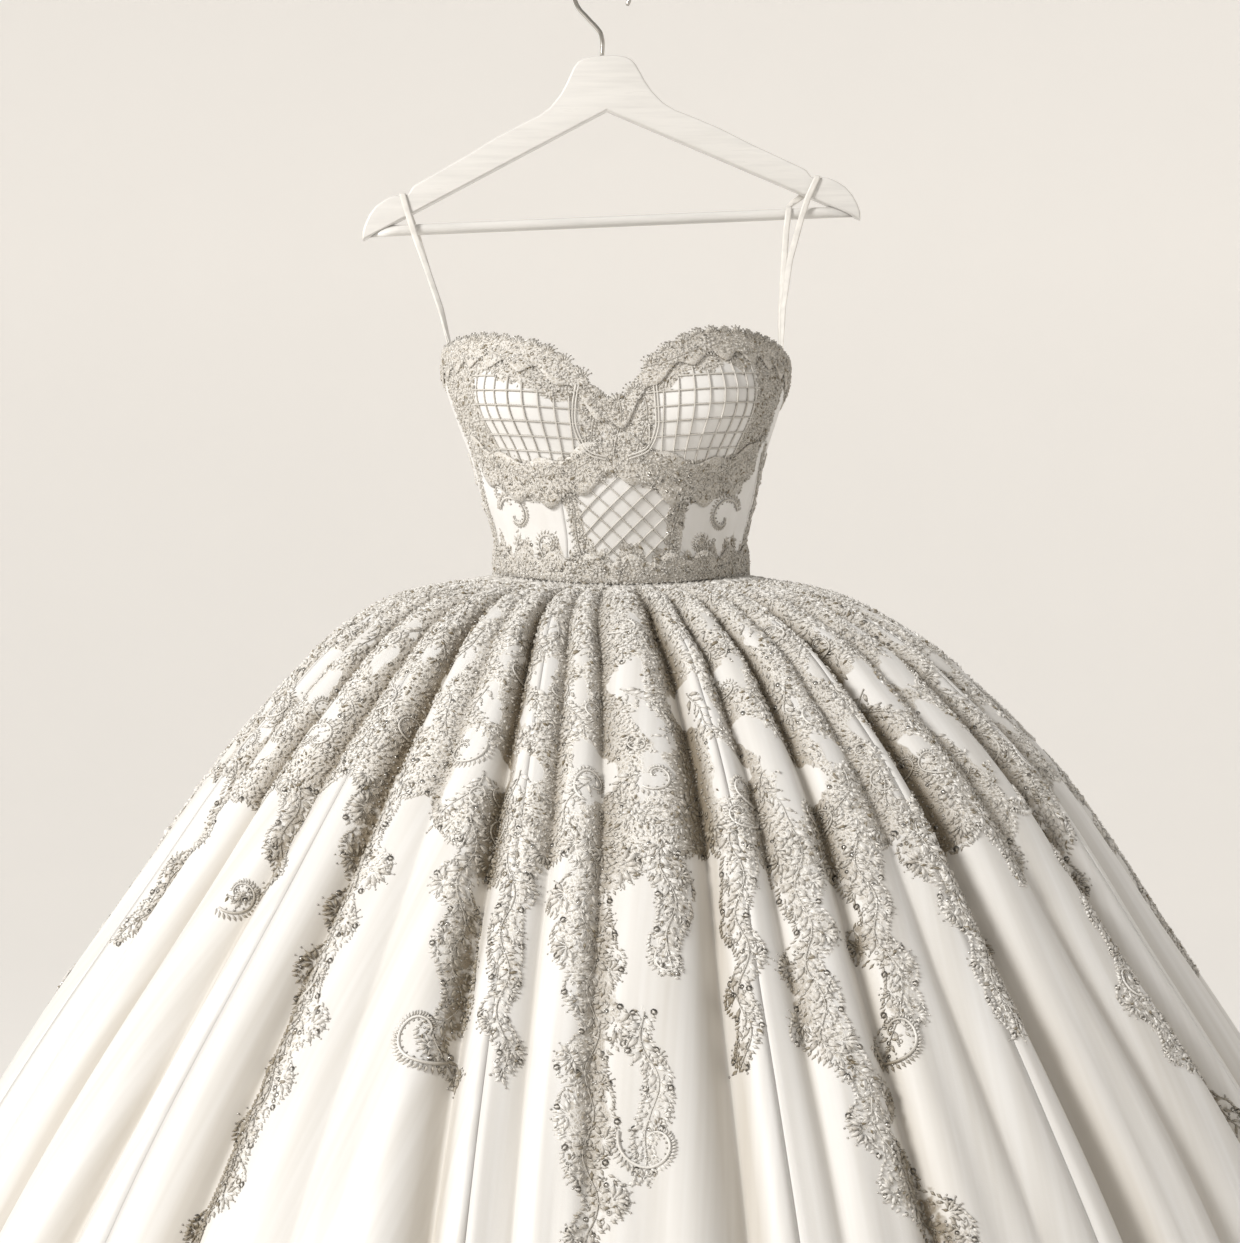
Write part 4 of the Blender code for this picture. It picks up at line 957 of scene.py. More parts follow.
    def fill(self, degrees, v, size, turn):
        """Filling of small petals, beads, loops, leaves and a few sequins at the given places."""
        n = len(degrees)
        draw = self.rng.random(n)
        scale = size * self.rng.uniform(0.78, 1.25, n)
        turn = turn + self.rng.uniform(-0.5, 0.5, n)
        tone = np.clip(self.rng.normal(0.90, 0.14, n), 0.0, 1.0)
        tone = np.where(self.rng.random(n) < 0.16, self.rng.uniform(0.0, 0.3, n), tone)
        tilt = self.rng.uniform(-0.25, 0.35, n)
        for kind, low, high, long, wide, tall in FILLING:
            p = (draw >= low) & (draw < high)
            self.sew(kind, degrees[p], v[p], turn[p], long * scale[p], wide * scale[p], tall * scale[p],
                     tone[p], tilt[p])


# Materials

def new_material(name):
    """Empty node material, its node tree and its shader."""
    made = bpy.data.materials.new(name)
    made.use_nodes = True
    return made, made.node_tree, made.node_tree.nodes["Principled BSDF"]


def feed(tree, node, inputs):
    """Node with its inputs set to values, a colour's opacity added, or linked to sockets."""
    for key, value in inputs.items():
        socket = node.inputs[key]
        if isinstance(value, bpy.types.NodeSocket):
            tree.links.new(value, socket)
        else:
            socket.default_value = (*value, 1.0) if socket.type == "RGBA" else value
    return node


def add_node(tree, kind, inputs=None, **settings):
    """Node of a kind with its settings and inputs."""
    made = tree.nodes.new(kind)
    for key, value in settings.items():
        setattr(made, key, value)
    return feed(tree, made, inputs or {})


def mixed(tree, factor, one, two):
    """Colour between two colours."""
    return add_node(tree, "ShaderNodeMix", {0: factor, 6: one, 7: two}, data_type="RGBA").outputs[2]


def dimmed(tree, factor, tint, dim):
    """Colour between a tint and the same tint dimmed."""
    return mixed(tree, factor, tint, [dim * x for x in tint])


def maths(tree, what, one, two=0.0, clamp=False):
    """Arithmetic of two values."""
    return add_node(tree, "ShaderNodeMath", {0: one, 1: two}, operation=what, use_clamp=clamp).outputs[0]


def noise(tree, vector, scale, detail, **inputs):
    """Noise texture's value."""
    inputs = {"Vector": vector, "Scale": scale, "Detail": detail, **inputs}
    return add_node(tree, "ShaderNodeTexNoise", inputs).outputs[0]


def point_value(tree, name):
    """Number that the mesh carries at each point."""
    return add_node(tree, "ShaderNodeAttribute", attribute_name=name).outputs["Fac"]


def object_place(tree):
    """Place on the object in its own space."""
    return add_node(tree, "ShaderNodeTexCoord").outputs["Object"]


def ranged(tree, value, low, high, to_low=0.0, to_high=1.0):
    """Value brought from one range to another, held at the ends."""
    return add_node(tree, "ShaderNodeMapRange", {"Value": value, "From Min": low, "From Max": high,
                                                 "To Min": to_low, "To Max": to_high}).outputs[0]


def bump(tree, height, strength, distance):
    """Normal of a bump."""
    return add_node(tree, "ShaderNodeBump", {"Height": height, "Strength": strength,
                                             "Distance": distance}).outputs[0]


def group_of(name, numbers, outs):
    """New node group with a vector and numbers going in and numbers coming out, and both its ends."""
    made = bpy.data.node_groups.new(name, "ShaderNodeTree")
    made.interface.new_socket("Vector", in_out="INPUT", socket_type="NodeSocketVector")
    for key, value in numbers.items():
        made.interface.new_socket(key, in_out="INPUT", socket_type="NodeSocketFloat").default_value = value
    for key in outs:
        made.interface.new_socket(key, in_out="OUTPUT", socket_type="NodeSocketFloat")
    return made, made.nodes.new("NodeGroupInput").outputs, made.nodes.new("NodeGroupOutput")


@cache
def streak_group():
    """Long soft streaks of a hanging cloth: noise stretched along the cloth, and a fine weave."""
    made, start, end = group_of("hanging_streaks", {"Across": 40.0, "Along": 1.6, "Weave": 900.0},
                                ("Streak", "Height"))
    scale = add_node(made, "ShaderNodeCombineXYZ", {"X": start["Across"], "Y": start["Along"]})
    moved = add_node(made, "ShaderNodeVectorMath", {0: start["Vector"], 1: scale.outputs[0]},
                     operation="MULTIPLY")
    broad = noise(made, moved.outputs[0], 1.0, 3.0, Roughness=0.62)
    weave = noise(made, start["Vector"], start["Weave"], 1.0)
    height = maths(made, "ADD", maths(made, "MULTIPLY", broad, 0.8), maths(made, "MULTIPLY", weave, 0.2))
    feed(made, end, {"Streak": ranged(made, broad, 0.30, 0.72), "Height": height})
    return made


@cache
def net_group():
    """Net of the lace: cells with thread between them, its edge broken up by noise."""
    made, start, end = group_of("lace_net", {"Cover": 0.0, "Cells": 360.0}, ("Mask", "Hole", "Height"))
    edge = maths(made, "SUBTRACT", noise(made, start["Vector"], 130.0, 2.0), 0.5)
    cover = maths(made, "ADD", start["Cover"], maths(made, "MULTIPLY", edge, 0.9))
    mask = ranged(made, cover, 0.42, 0.60)
    cells = add_node(made, "ShaderNodeTexVoronoi", {"Vector": start["Vector"], "Scale": start["Cells"]},
                     feature="DISTANCE_TO_EDGE")
    hole = ranged(made, cells.outputs[0], 0.05, 0.22)
    height = maths(made, "MULTIPLY", mask, maths(made, "SUBTRACT", 1.0, hole))
    feed(made, end, {"Mask": mask, "Hole": hole, "Height": height})
    return made


@cache
def cloth_material(name, across, along_cloth, depth):
    """Ivory satin under tulle: soft streaks, sheen, the lace's net where the cloth is covered, and painted
    shade that darkens satin and net deep in the pleats and towards the bodice's right front.
    """
    cloth, lace = bpy.context.scene.gown_cloth, bpy.context.scene.gown_lace
    made, tree, shader = new_material(name)
    uv = add_node(tree, "ShaderNodeUVMap", uv_map="cloth").outputs[0]
    painted_shade = point_value(tree, "painted_shade")
    streak = add_node(tree, "ShaderNodeGroup", {"Vector": uv, "Across": across, "Along": along_cloth},
                      node_tree=streak_group()).outputs
    net = add_node(tree, "ShaderNodeGroup", {"Vector": uv, "Cover": point_value(tree, "cover")},
                   node_tree=net_group()).outputs
    base = mixed(tree, maths(tree, "MULTIPLY", streak["Streak"], depth), cloth.satin, cloth.shade)
    # Painted shade: the satin and the net are mixed towards darker colours by the painted shade at each point,
    # deep in the pleats and towards the bodice's right front.
    base = mixed(tree, maths(tree, "MULTIPLY", maths(tree, "POWER", painted_shade, 2.4), 0.42), base, cloth.satin_crease_shade)
    holes = mixed(tree, net["Hole"], lace.thread, lace.net)
    holes = mixed(tree, maths(tree, "MULTIPLY", painted_shade, 0.92), holes, lace.net_crease_shade)
    height = maths(tree, "ADD", maths(tree, "MULTIPLY", streak["Height"], 0.5), net["Height"])
    feed(tree, shader, {"Base Color": mixed(tree, maths(tree, "MULTIPLY", net["Mask"], 0.94), base, holes),
                        "Roughness": 0.48, "Sheen Weight": 0.30, "Sheen Roughness": 0.35,
                        "Specular IOR Level": 0.35, "Normal": bump(tree, height, 0.35, 0.0012)})
    return made


def bodice_satin():
    """Satin of the bodice, with shorter and fainter streaks than the skirt's."""
    return cloth_material("bodice_satin", 26.0, 12.0, 0.45)


@cache
def thread_material():
    """Lace thread: from light to dark by each stitch's tone, which holds random differences and painted shade,
    with fine ridges of thread.
    """
    lace = bpy.context.scene.gown_lace
    made, tree, shader = new_material("lace_thread")
    place = object_place(tree)
    broad = maths(tree, "SUBTRACT", noise(tree, place, 45.0, 2.0), 0.5)
    level = maths(tree, "ADD", point_value(tree, "tone"), maths(tree, "MULTIPLY", broad, 0.5), clamp=True)
    twist = bump(tree, noise(tree, place, 1300.0, 1.0), 0.4, 0.0003)
    feed(tree, shader, {"Base Color": mixed(tree, level, lace.thread_dark_and_shade, lace.thread), "Roughness": 0.42,
                        "Sheen Weight": 0.15, "Normal": twist})
    return made


@cache
def bead_material():
    """Pearly glass bead: bright and glossy, its colour varied by tone, which holds random differences and
    painted shade.
    """
    lace = bpy.context.scene.gown_lace
    made, tree, shader = new_material("glass_bead")
    tone = mixed(tree, point_value(tree, "tone"), lace.sequin_colour, lace.bead_colour)
    feed(tree, shader, {"Base Color": tone, "Roughness": 0.16, "Coat Weight": 0.6, "Coat Roughness": 0.08})
    return made


@cache
def sequin_material():
    """Silvery sequin: metal with fine scratches in its roughness."""
    lace = bpy.context.scene.gown_lace
    made, tree, shader = new_material("silver_sequin")
    tone = mixed(tree, point_value(tree, "tone"), lace.sequin_colour, lace.bead_colour)
    gloss = ranged(tree, noise(tree, object_place(tree), 700.0, 2.0), 0.3, 0.7, 0.15, 0.38)
    feed(tree, shader, {"Base Color": tone, "Roughness": gloss, "Metallic": 0.9})
    return made


@cache
def ribbon_material():
    """Narrow satin ribbon with fine ribs across it."""
    made, tree, shader = new_material("satin_ribbon")
    uv = add_node(tree, "ShaderNodeUVMap", uv_map="cloth").outputs[0]
    ribs = add_node(tree, "ShaderNodeTexWave", {"Vector": uv, "Scale": 260.0, "Distortion": 0.6},
                    bands_direction="Y")
    level = maths(tree, "MULTIPLY", ranged(tree, noise(tree, uv, 90.0, 2.0), 0.35, 0.7), 0.5)
    feed(tree, shader, {"Base Color": dimmed(tree, level, bpy.context.scene.gown_cloth.ribbon, 0.74),
                        "Roughness": 0.34, "Sheen Weight": 0.2,
                        "Normal": bump(tree, ribs.outputs[1], 0.25, 0.0002)})
    return made


@cache
def wood_material():
    """White painted wood: faint grain under the paint and small differences in gloss."""
    made, tree, shader = new_material("white_painted_wood")
    stretch = add_node(tree, "ShaderNodeMapping", {"Vector": object_place(tree), "Scale": (8.0, 60.0, 110.0)})
    grain = noise(tree, stretch.outputs[0], 1.6, 4.0, Roughness=0.6)
    level = maths(tree, "MULTIPLY", ranged(tree, grain, 0.42, 0.75), 0.7)
    feed(tree, shader, {"Base Color": dimmed(tree, level, bpy.context.scene.gown_hanger.wood, 0.84),
                        "Roughness": ranged(tree, grain, 0.3, 0.7, 0.26, 0.40), "Coat Weight": 0.25,
                        "Normal": bump(tree, grain, 0.12, 0.0006)})
    return made


@cache
def metal_material():
    """Polished metal wire with faint drawing marks."""
    made, tree, shader = new_material("polished_wire")
    marks = noise(tree, object_place(tree), 420.0, 3.0)
    feed(tree, shader, {"Base Color": dimmed(tree, marks, bpy.context.scene.gown_hanger.metal, 0.8),
                        "Roughness": ranged(tree, marks, 0.3, 0.7, 0.10, 0.24), "Metallic": 1.0})
    return made


# Skirt

def pleat_columns(first, last, steps):
    """Places of a gore's columns: closer together near the valleys, t + 0.09 sin(2 pi t) within a pleat."""
    t = np.arange(steps) / steps
    t = t - 0.09 * np.sin(2 * math.pi * t)
    every = (np.arange(math.floor(first), math.ceil(last) + 1)[:, None] + t[None]).ravel()
    inside = every[(every > first + 1e-6) & (every < last - 1e-6)]
    return np.concatenate([[first], inside, [last]])


def window_start(k):
    """Distance of a pleat's first bare window."""
    return 0.125 + 0.03 * (k % 2)


def span_per_degree(degrees, s):
    """Metres to a degree round the smooth skirt."""
    angle = np.radians(degrees)
    return outline_size(1, s) * np.sqrt(np.cos(angle) ** 2 + 0.64 * np.sin(angle) ** 2) * math.pi / 180


def cap_edge(degrees):
    """Distance of the cap's lower edge down the skirt, with round lobes |sin|^0.6."""
    degrees = wrapped(degrees)
    lobe = np.abs(np.sin(math.pi * degrees / CAP_LOBE)) ** 0.6
    return np.interp(degrees, LACE_CAP[:, 0], LACE_CAP[:, 1]) + 0.012 * (lobe - 0.5)


def crest_edge(k):
    """Distance of the cap's lower edge on the crest after pleat k."""
    return float(cap_edge(np.degrees(pleat_angle(np.array(k + 0.5), np.array(0.3)))))


def tail_middle(rows, s):
    """Middle angle and half width of a tail at distances s."""
    rows = np.array(rows)
    return np.interp(s, rows[:, 1], rows[:, 0]), 0.001 * np.interp(s, rows[:, 1], rows[:, 2])


def tail_sway(k, s):
    """Sideways sway of tail k."""
    return 0.004 * np.sin(2 * math.pi * s / 0.058 + 2 * k)


def tail_side(k, side, wide, s):
    """Reach of a tail's side from its middle: its half width with round lobes |sin|^0.6, and the sway."""
    lobe = np.abs(np.sin(math.pi * s / LOBE_STEP + 1.3 * k + 0.9 * side)) ** 0.6
    size = 0.62 + 0.38 * np.sin(2.1 * np.floor(s / LOBE_STEP + 0.41 * k + 0.29 * side) + 1.7 * k + side)
    return side * wide * (0.50 + 0.75 * lobe * size) + tail_sway(k, s)


def tail_depth(degrees, s):
    """Signed distance into the tails of the lace."""
    degrees = wrapped(degrees)
    span = span_per_degree(degrees, s)
    best = np.full(np.shape(s), -1.0)
    for k, rows in enumerate(LACE_TAILS):
        middle, wide = tail_middle(rows, s)
        off = wrapped(degrees - middle) * span
        inside = np.minimum(tail_side(k, 1.0, wide, s) - off, off - tail_side(k, -1.0, wide, s))
        beyond = np.maximum(rows[0][1] - s, s - rows[-1][1])
        best = np.maximum(best, np.minimum(inside, -beyond))
    return best


def lace_depth(degrees, s):
    """Signed distance into the lace on the skirt: the lobed cap and the tails."""
    return np.maximum(cap_edge(degrees) - s, tail_depth(degrees, s))


def lace_windows():
    """Bare leaf-shaped places down each pleat's crest, columns: angle, distance, half width, half length."""
    rng = np.random.default_rng(5)
    rows = []
    for k in range(PLEAT_COUNT):
        for v in np.arange(window_start(k), crest_edge(k) - 0.02, WINDOW_STEP):
            grow = rng.uniform(0.55, 1.50)
            u = k + 0.5 + rng.uniform(-0.20, 0.20)
            v = v + rng.uniform(-0.016, 0.016)
            rows.append((float(np.degrees(pleat_angle(np.array(u), np.array(v)))), v,
                         grow * (0.0045 + 0.055 * (v - 0.10)), grow * (0.012 + 0.08 * (v - 0.10))))
    return np.array(rows)


WINDOWS = lace_windows()


def window_share(degrees, s):
    """Above 0 inside a bare window: the largest of 1 - |x|/w - (y/l)^2."""
    span = span_per_degree(degrees, s)
    found = np.full(np.shape(s), -9.0)
    for degree, v, wide, tall in WINDOWS:
        x = wrapped(degrees - degree) * span / wide + 0.45 * np.sin((s - v) / tall * 2.6 + 40 * v)
        found = np.maximum(found, 1 - np.abs(x) ** 1.4 - np.abs((s - v) / tall) ** 1.7)
    return found


def crease_shade_share(u, s):
    """Painted shade of the folds: share of a deep pleat's depth, 0 on a crest and 1 in a valley, read a little
    below near the waist so that the shade starts at the waist.
    """
    cloth = bpy.context.scene.gown_cloth
    depth = pleat_depth(u, s + 0.035 * np.exp(-s / 0.08), cloth.valley_round)
    return np.clip(depth / CREASE_SHADE_FULL, 0.0, 1.0) ** 0.85


def build_gores():
    """Eleven gores of the skirt, each a thin closed wall with its pleats and soft creases."""
    cloth = bpy.context.scene.gown_cloth
    rows = np.concatenate([np.linspace(0.0, 0.42, 64), np.linspace(0.42, SKIRT_LENGTH, 35)[1:]])
    made = {}
    for name, first, last in GORES:
        places = pleat_columns(first, last, 14)
        u, s = np.meshgrid(places, rows, indexing="ij")
        points = skirt_point(u, s)
        normals = grid_normals(points, skirt_point(u[0] - 0.06, s[0]), skirt_point(u[-1] + 0.06, s[-1]))
        points[0] += unit(points[1] - points[0]) * GAP / 2
        points[-1] += unit(points[-2] - points[-1]) * GAP / 2
        degrees = np.degrees(pleat_angle(u, s))
        uv = np.stack([along(points, 0), s], axis=-1)
        cover = rise(lace_depth(degrees, s), -0.006, 0.006) * np.where(s > cap_edge(degrees), 0.62, 1.0)
        cover = cover * (1 - rise(window_share(degrees, s), -0.25, 0.15))
        # Painted shade deep in the pleats, which the material reads at each point.
        painted_shade = crease_shade_share(u, s)
        item = shell("gore_" + name, points, points - normals * cloth.skirt_wall, uv,
                     {"cover": cover, "painted_shade": painted_shade})
        item.data.materials.append(cloth_material("satin_and_tulle", 42.0, 1.5, 0.90))
        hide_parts("skirt_" + name)
        made[name] = (item, float(along(points, 0)[-1, -1]))
    return made


# Lace on the skirt

def gore_of(degrees, s):
    """Number of the gore that a point lies on."""
    u = pleat_place(degrees, s)
    u = np.where(u >= GORES[-1][2], u - PLEAT_COUNT, u)
    return np.searchsorted([row[2] for row in GORES], u, side="right").clip(0, len(GORES) - 1)


def scattered(rng, surface, rows, gap):
    """Points in rows round a surface, a gap apart along each row, shifted a little at random."""
    around = np.linspace(-180.0, 180.0, 721)
    places, downs = [], []
    for v in rows:
        run = run_along(surface(around, np.full_like(around, v))) / gap
        marks = np.arange(int(run[-1])) + rng.uniform(0.0, 1.0)
        marks = marks + rng.uniform(-0.36, 0.36, len(marks))
        places.append(np.interp(marks, run, around))
        downs.append(v + rng.uniform(-0.36, 0.36, len(marks)) * gap)
    return np.concatenate(places), np.concatenate(downs)


def smooth_skirt(degrees, s):
    """Smooth skirt at an angle in degrees."""
    return skirt_outline_point(np.radians(degrees), s)


def skirt_crease_shade(degrees, s):
    """Painted shade of the pleats' folds at an angle and a distance."""
    return crease_shade_share(pleat_place(degrees, s), s)


def flow(x, y):
    """Direction in which neighbouring stitches lie together: slow swirls round an upright line."""
    return (0.5 * math.pi + 1.25 * np.sin(x * 150.0 + 1.7 * np.sin(y * 90.0))
            + 0.8 * np.sin(y * 120.0 + 1.3 * np.sin(x * 70.0)))


def build_skirt_lace():
    """Beaded lace of the skirt: vines round the bare windows, tails, scrolls, flowers and filling."""
    lace = bpy.context.scene.gown_lace
    # The chart carries the painted shade of the folds, which darkens the stitches.
    chart = Chart(skirt_at, 0.001, 0.70, 1801, 260, skirt_crease_shade)
    needle = Needle(chart, [Embroidery() for _ in GORES], gore_of, lace.seed)
    rng = needle.rng
    for k in range(PLEAT_COUNT):
        v = np.arange(0.030, crest_edge(k) - 0.010, 0.004)
        swing = np.cos((v - window_start(k)) * math.pi / WINDOW_STEP) * rise(v, 0.03, 0.10)
        for first in range(3, len(v) - 12, 20):
            part = slice(first, first + 13)
            side = 0.30 * swing[part] + 0.10 * np.sin(v[part] * 130.0 + k)
            needle.vine(np.degrees(pleat_angle(k + 0.5 + side, v[part])), v[part], 0.0100)
    for degree, v, wide, tall in WINDOWS[::2]:
        hand = rng.choice([-1.0, 1.0])
        needle.curl(degree + hand * 2.2, v + 0.6 * tall, rng.uniform(0.008, 0.013), hand, rng.uniform(0, 360))
    around = np.arange(-178.5, 180.0, 1.5)
    for down in (0.0045, 0.012):
        n = len(around)
        needle.sew("leaf", around + rng.uniform(-0.6, 0.6, n), down + rng.uniform(-0.002, 0.003, n),
                   rng.uniform(0.8, 2.3, n), rng.uniform(0.009, 0.018, n), 0.0050, 0.0024,
                   rng.uniform(0.6, 1.0, n), 0.14)
    for k, rows in enumerate(LACE_TAILS):
        v = np.arange(rows[0][1], rows[-1][1], 0.003)
        a, wide = tail_middle(rows, v)
        span = span_per_degree(a, v)
        needle.vine(a + tail_sway(k, v) / span, v, 0.0115)
        for side in (-1.0, 1.0):
            reach = tail_side(k, side, wide, v) * (1 - 0.9 * rise(v, v[-1] - 0.012, v[-1]))
            edge = a + (reach + side * 0.001) / span
            bare = v > cap_edge(edge) - 0.004
            n = int(bare.sum())
            needle.sew("petal", edge[bare], v[bare], 0.5 * math.pi - side * rng.uniform(0.3, 1.5, n), 0.0064,
                       0.0026, 0.0016, rng.uniform(0.6, 1.0, n), 0.1)
            needle.sew("sequin", edge[bare][::9], v[bare][::9], 0.0, lace.sequin, lace.sequin, 0.0016, 0.05)
            marks = (np.arange(60) + 0.5 - (1.3 * k + 0.9 * side) / math.pi) * LOBE_STEP
            marks = marks[(marks > v[0] + 0.01) & (marks < v[-1] - 0.004)]
            reach = np.interp(marks, v, reach)
            at = np.interp(marks, v, a + (0.62 * tail_side(k, side, wide, v) / span))
            needle.fans(at, marks, 0.42 * np.abs(reach) + 0.0040,
                        0.5 * math.pi - side * rng.uniform(0.9, 1.8, len(marks)), 6)
    for degree, v, radius, hand, start in LACE_CURLS:
        needle.curl(degree, v, 0.001 * radius, hand, start)
    around = np.arange(-180.0, 180.0, 0.4)
    edge = cap_edge(around)
    bare = tail_depth(around, edge) < 0.002
    for part in np.split(np.arange(len(around)), np.flatnonzero(np.diff(bare.astype(int))) + 1):
        if bare[part[0]] and len(part) > 4:
            n = len(part)
            turn = 0.5 * math.pi + rng.uniform(-0.9, 0.9, n)
            needle.sew("petal", around[part], edge[part] + 0.001, turn, 0.0068, 0.0027, 0.0016,
                       rng.uniform(0.6, 1.0, n), 0.1)
            part = part[::8]
            needle.sew("sequin", around[part], edge[part], 0.0, lace.sequin, lace.sequin, 0.0016, 0.05)
    around = np.arange(-180.0 + CAP_LOBE / 2, 180.0, CAP_LOBE)
    needle.fans(around, cap_edge(around) - 0.0135, np.full(len(around), 0.0115), 0.5 * math.pi)
    for degree in np.arange(-176.0, 180.0, 9.0):
        v = float(cap_edge(np.array(degree))) - rng.uniform(0.035, 0.075)
        needle.curl(degree + rng.uniform(-2, 2), v, rng.uniform(0.010, 0.015), rng.choice([-1, 1]),
                    rng.uniform(0, 360))
    a, v = scattered(rng, smooth_skirt, np.arange(0.05, 0.40, 0.050), 0.056)
    pick = (lace_depth(a, v) > 0.012) & (window_share(a, v) < -0.6)
    needle.blossoms(a[pick], v[pick], rng.uniform(0.0080, 0.0115, pick.sum()))
    a, v = scattered(rng, smooth_skirt, np.arange(0.004, 0.67, 0.87 * lace.front_gap), lace.front_gap)
    keep = lace_depth(a, v) > rng.uniform(-0.003, 0.004, len(a))
    a, v = a[keep], v[keep]
    behind = np.abs(wrapped(a)) > 92.0
    share_kept = np.where(behind, (lace.front_gap / lace.back_gap) ** 2, 1.0)
    share_kept = share_kept * np.where(v > cap_edge(a), 0.72, 1.0)
    keep = (window_share(a, v) < rng.uniform(-0.5, 0.15, len(a))) & (rng.random(len(a)) < share_kept)
    a, v, behind = a[keep], v[keep], behind[keep]
    size = np.where(behind, 1.35, 1.0) * lace.front_gap
    needle.fill(a, v, size, flow(a * span_per_degree(a, v), v))
    made = {}
    for (name, _, _), layer in zip(GORES, needle.layers):
        item = layer.make("beaded_lace_" + name)
        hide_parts("lace_" + name)
        made[name] = item
    return made


# Bodice

def edge_down(kind, degrees):
    """Depth of an edge of the bodice below the hook at an angle."""
    if kind == "waist":
        return -(WAIST_Z - WAIST_DIP * np.maximum(np.cos(np.radians(degrees)), 0.0) ** 2)
    table = NECKLINE if kind == "neckline" else UNDERBUST
    return -smooth(table[:, 0], table[:, 1], wrapped(degrees))


def bodice_lace_depth(degrees, down):
    """Signed distance into the lace on the bodice: bands at its edges, and the strips."""
    degrees = wrapped(degrees)
    front = np.abs(degrees) < 74.0
    deep = np.where(front, 0.028 + 0.004 * np.sin(degrees * 0.5), 0.022)
    neck = deep - np.abs(down - edge_down("neckline", degrees) - 0.004)
    waist = 0.031 + 0.007 * np.sin(degrees * 0.35) + 0.005 * np.sin(degrees * 0.83 + 1)
    waist = waist - np.abs(down - edge_down("waist", degrees))
    outer = np.minimum(BODICE_SPAN * (np.abs(degrees) - 47.0), edge_down("underbust", degrees) - down)
    neck = np.maximum(neck, np.where(front, outer, -1.0))
    under = np.abs(down - edge_down("underbust", degrees) - 0.005)
    under = np.where(np.abs(degrees) < 66.0, 0.0170, -1.0) - under
    best = np.maximum(np.maximum(neck, waist), under)
    for strip in BODICE_STRIPS:
        rows = np.array(strip)
        x, y, r = rows[:, 0] * BODICE_SPAN, -rows[:, 1], 0.001 * rows[:, 2]
        px, py = degrees * BODICE_SPAN, down
        for k in range(len(rows) - 1):
            dx, dy = x[k + 1] - x[k], y[k + 1] - y[k]
            t = np.clip(((px - x[k]) * dx + (py - y[k]) * dy) / (dx * dx + dy * dy), 0.0, 1.0)
            reach = np.hypot(px - x[k] - t * dx, py - y[k] - t * dy)
            best = np.maximum(best, r[k] + (r[k + 1] - r[k]) * t - reach)
    return best


def bodice_cloth(a, top, bottom, rows):
    """Grid of the bodice between two edges: angles, depths, points, normals, and places on the cloth."""
    part = np.linspace(0.0, 1.0, rows)
    down = top[:, None] * (1 - part) + bottom[:, None] * part
    degrees = np.repeat(a[:, None], rows, axis=1)
    points, _, _, normals = frames(bodice_at, degrees, down)
    return degrees, down, points, normals, np.stack([degrees * BODICE_SPAN, down], axis=-1)


def bodice_painted_shade(degrees, _down):
    """Painted shade on the bodice's cloth and lace, as if lit from the left, a little deeper towards the right
    front: 0.28 + 0.20 of a soft step.
    """
    return 0.28 + 0.20 * rise(wrapped(degrees), -10.0, 60.0)


def build_bodice():
    """Nine panels of the bodice, each a thin closed wall kept back a little from its seams."""
    cloth = bpy.context.scene.gown_cloth
    made = {}
    for name, first, last, low, high in BODICE_PANELS:
        a = np.linspace(first, last, int((last - first) / 1.6) + 1)
        top, bottom = edge_down(high, a), edge_down(low, a)
        top = top + (GAP / 2 if high != "neckline" else 0.0)
        bottom = bottom - (GAP / 2 if low != "waist" else 0.0)
        count = 34 if high == "neckline" and low == "waist" else 22
        degrees, down, points, normals, uv = bodice_cloth(a, top, bottom, count)
        points[0] += unit(points[1] - points[0]) * GAP / 2
        points[-1] += unit(points[-2] - points[-1]) * GAP / 2
        cover = rise(bodice_lace_depth(degrees, down), -0.004, 0.004)
        # Painted shade on the panels, a little deeper towards the right front.
        item = shell("panel_" + name, points, points - normals * cloth.bodice_wall, uv,
                     {"cover": cover, "painted_shade": bodice_painted_shade(degrees, down)})
        item.data.materials.append(bodice_satin())
        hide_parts("bodice_" + name)
        made[name] = (item, float(along(points, 0)[-1].max()), float(along(points, 1)[:, -1].max()))
    return made


def band(name, node, a, top, bottom, rows):
    """Band of lace between two edges, lifted off the panels."""
    degrees, down, points, normals, uv = bodice_cloth(a, top, bottom, rows)
    # Painted shade on the lace ground, a little deeper towards the right front.
    item = shell(name, points + normals * (BAND_LIFT + BAND_THICK), points + normals * BAND_LIFT, uv,
                 {"cover": np.ones_like(down), "painted_shade": bodice_painted_shade(degrees, down)})
    item.data.materials.append(bodice_satin())
    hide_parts(node)
    wide = float(along(points, 0)[-1].mean())
    deep = float(along(points, 1)[:, -1].mean())
    return item, wide, deep


def scallops_high(phase):
    """Height of the scallops above the neckline: |sin(pi p)|^0.8, less 0.15."""
    return SCALLOP_HIGH * (np.abs(np.sin(math.pi * phase)) ** 0.8 - 0.15)


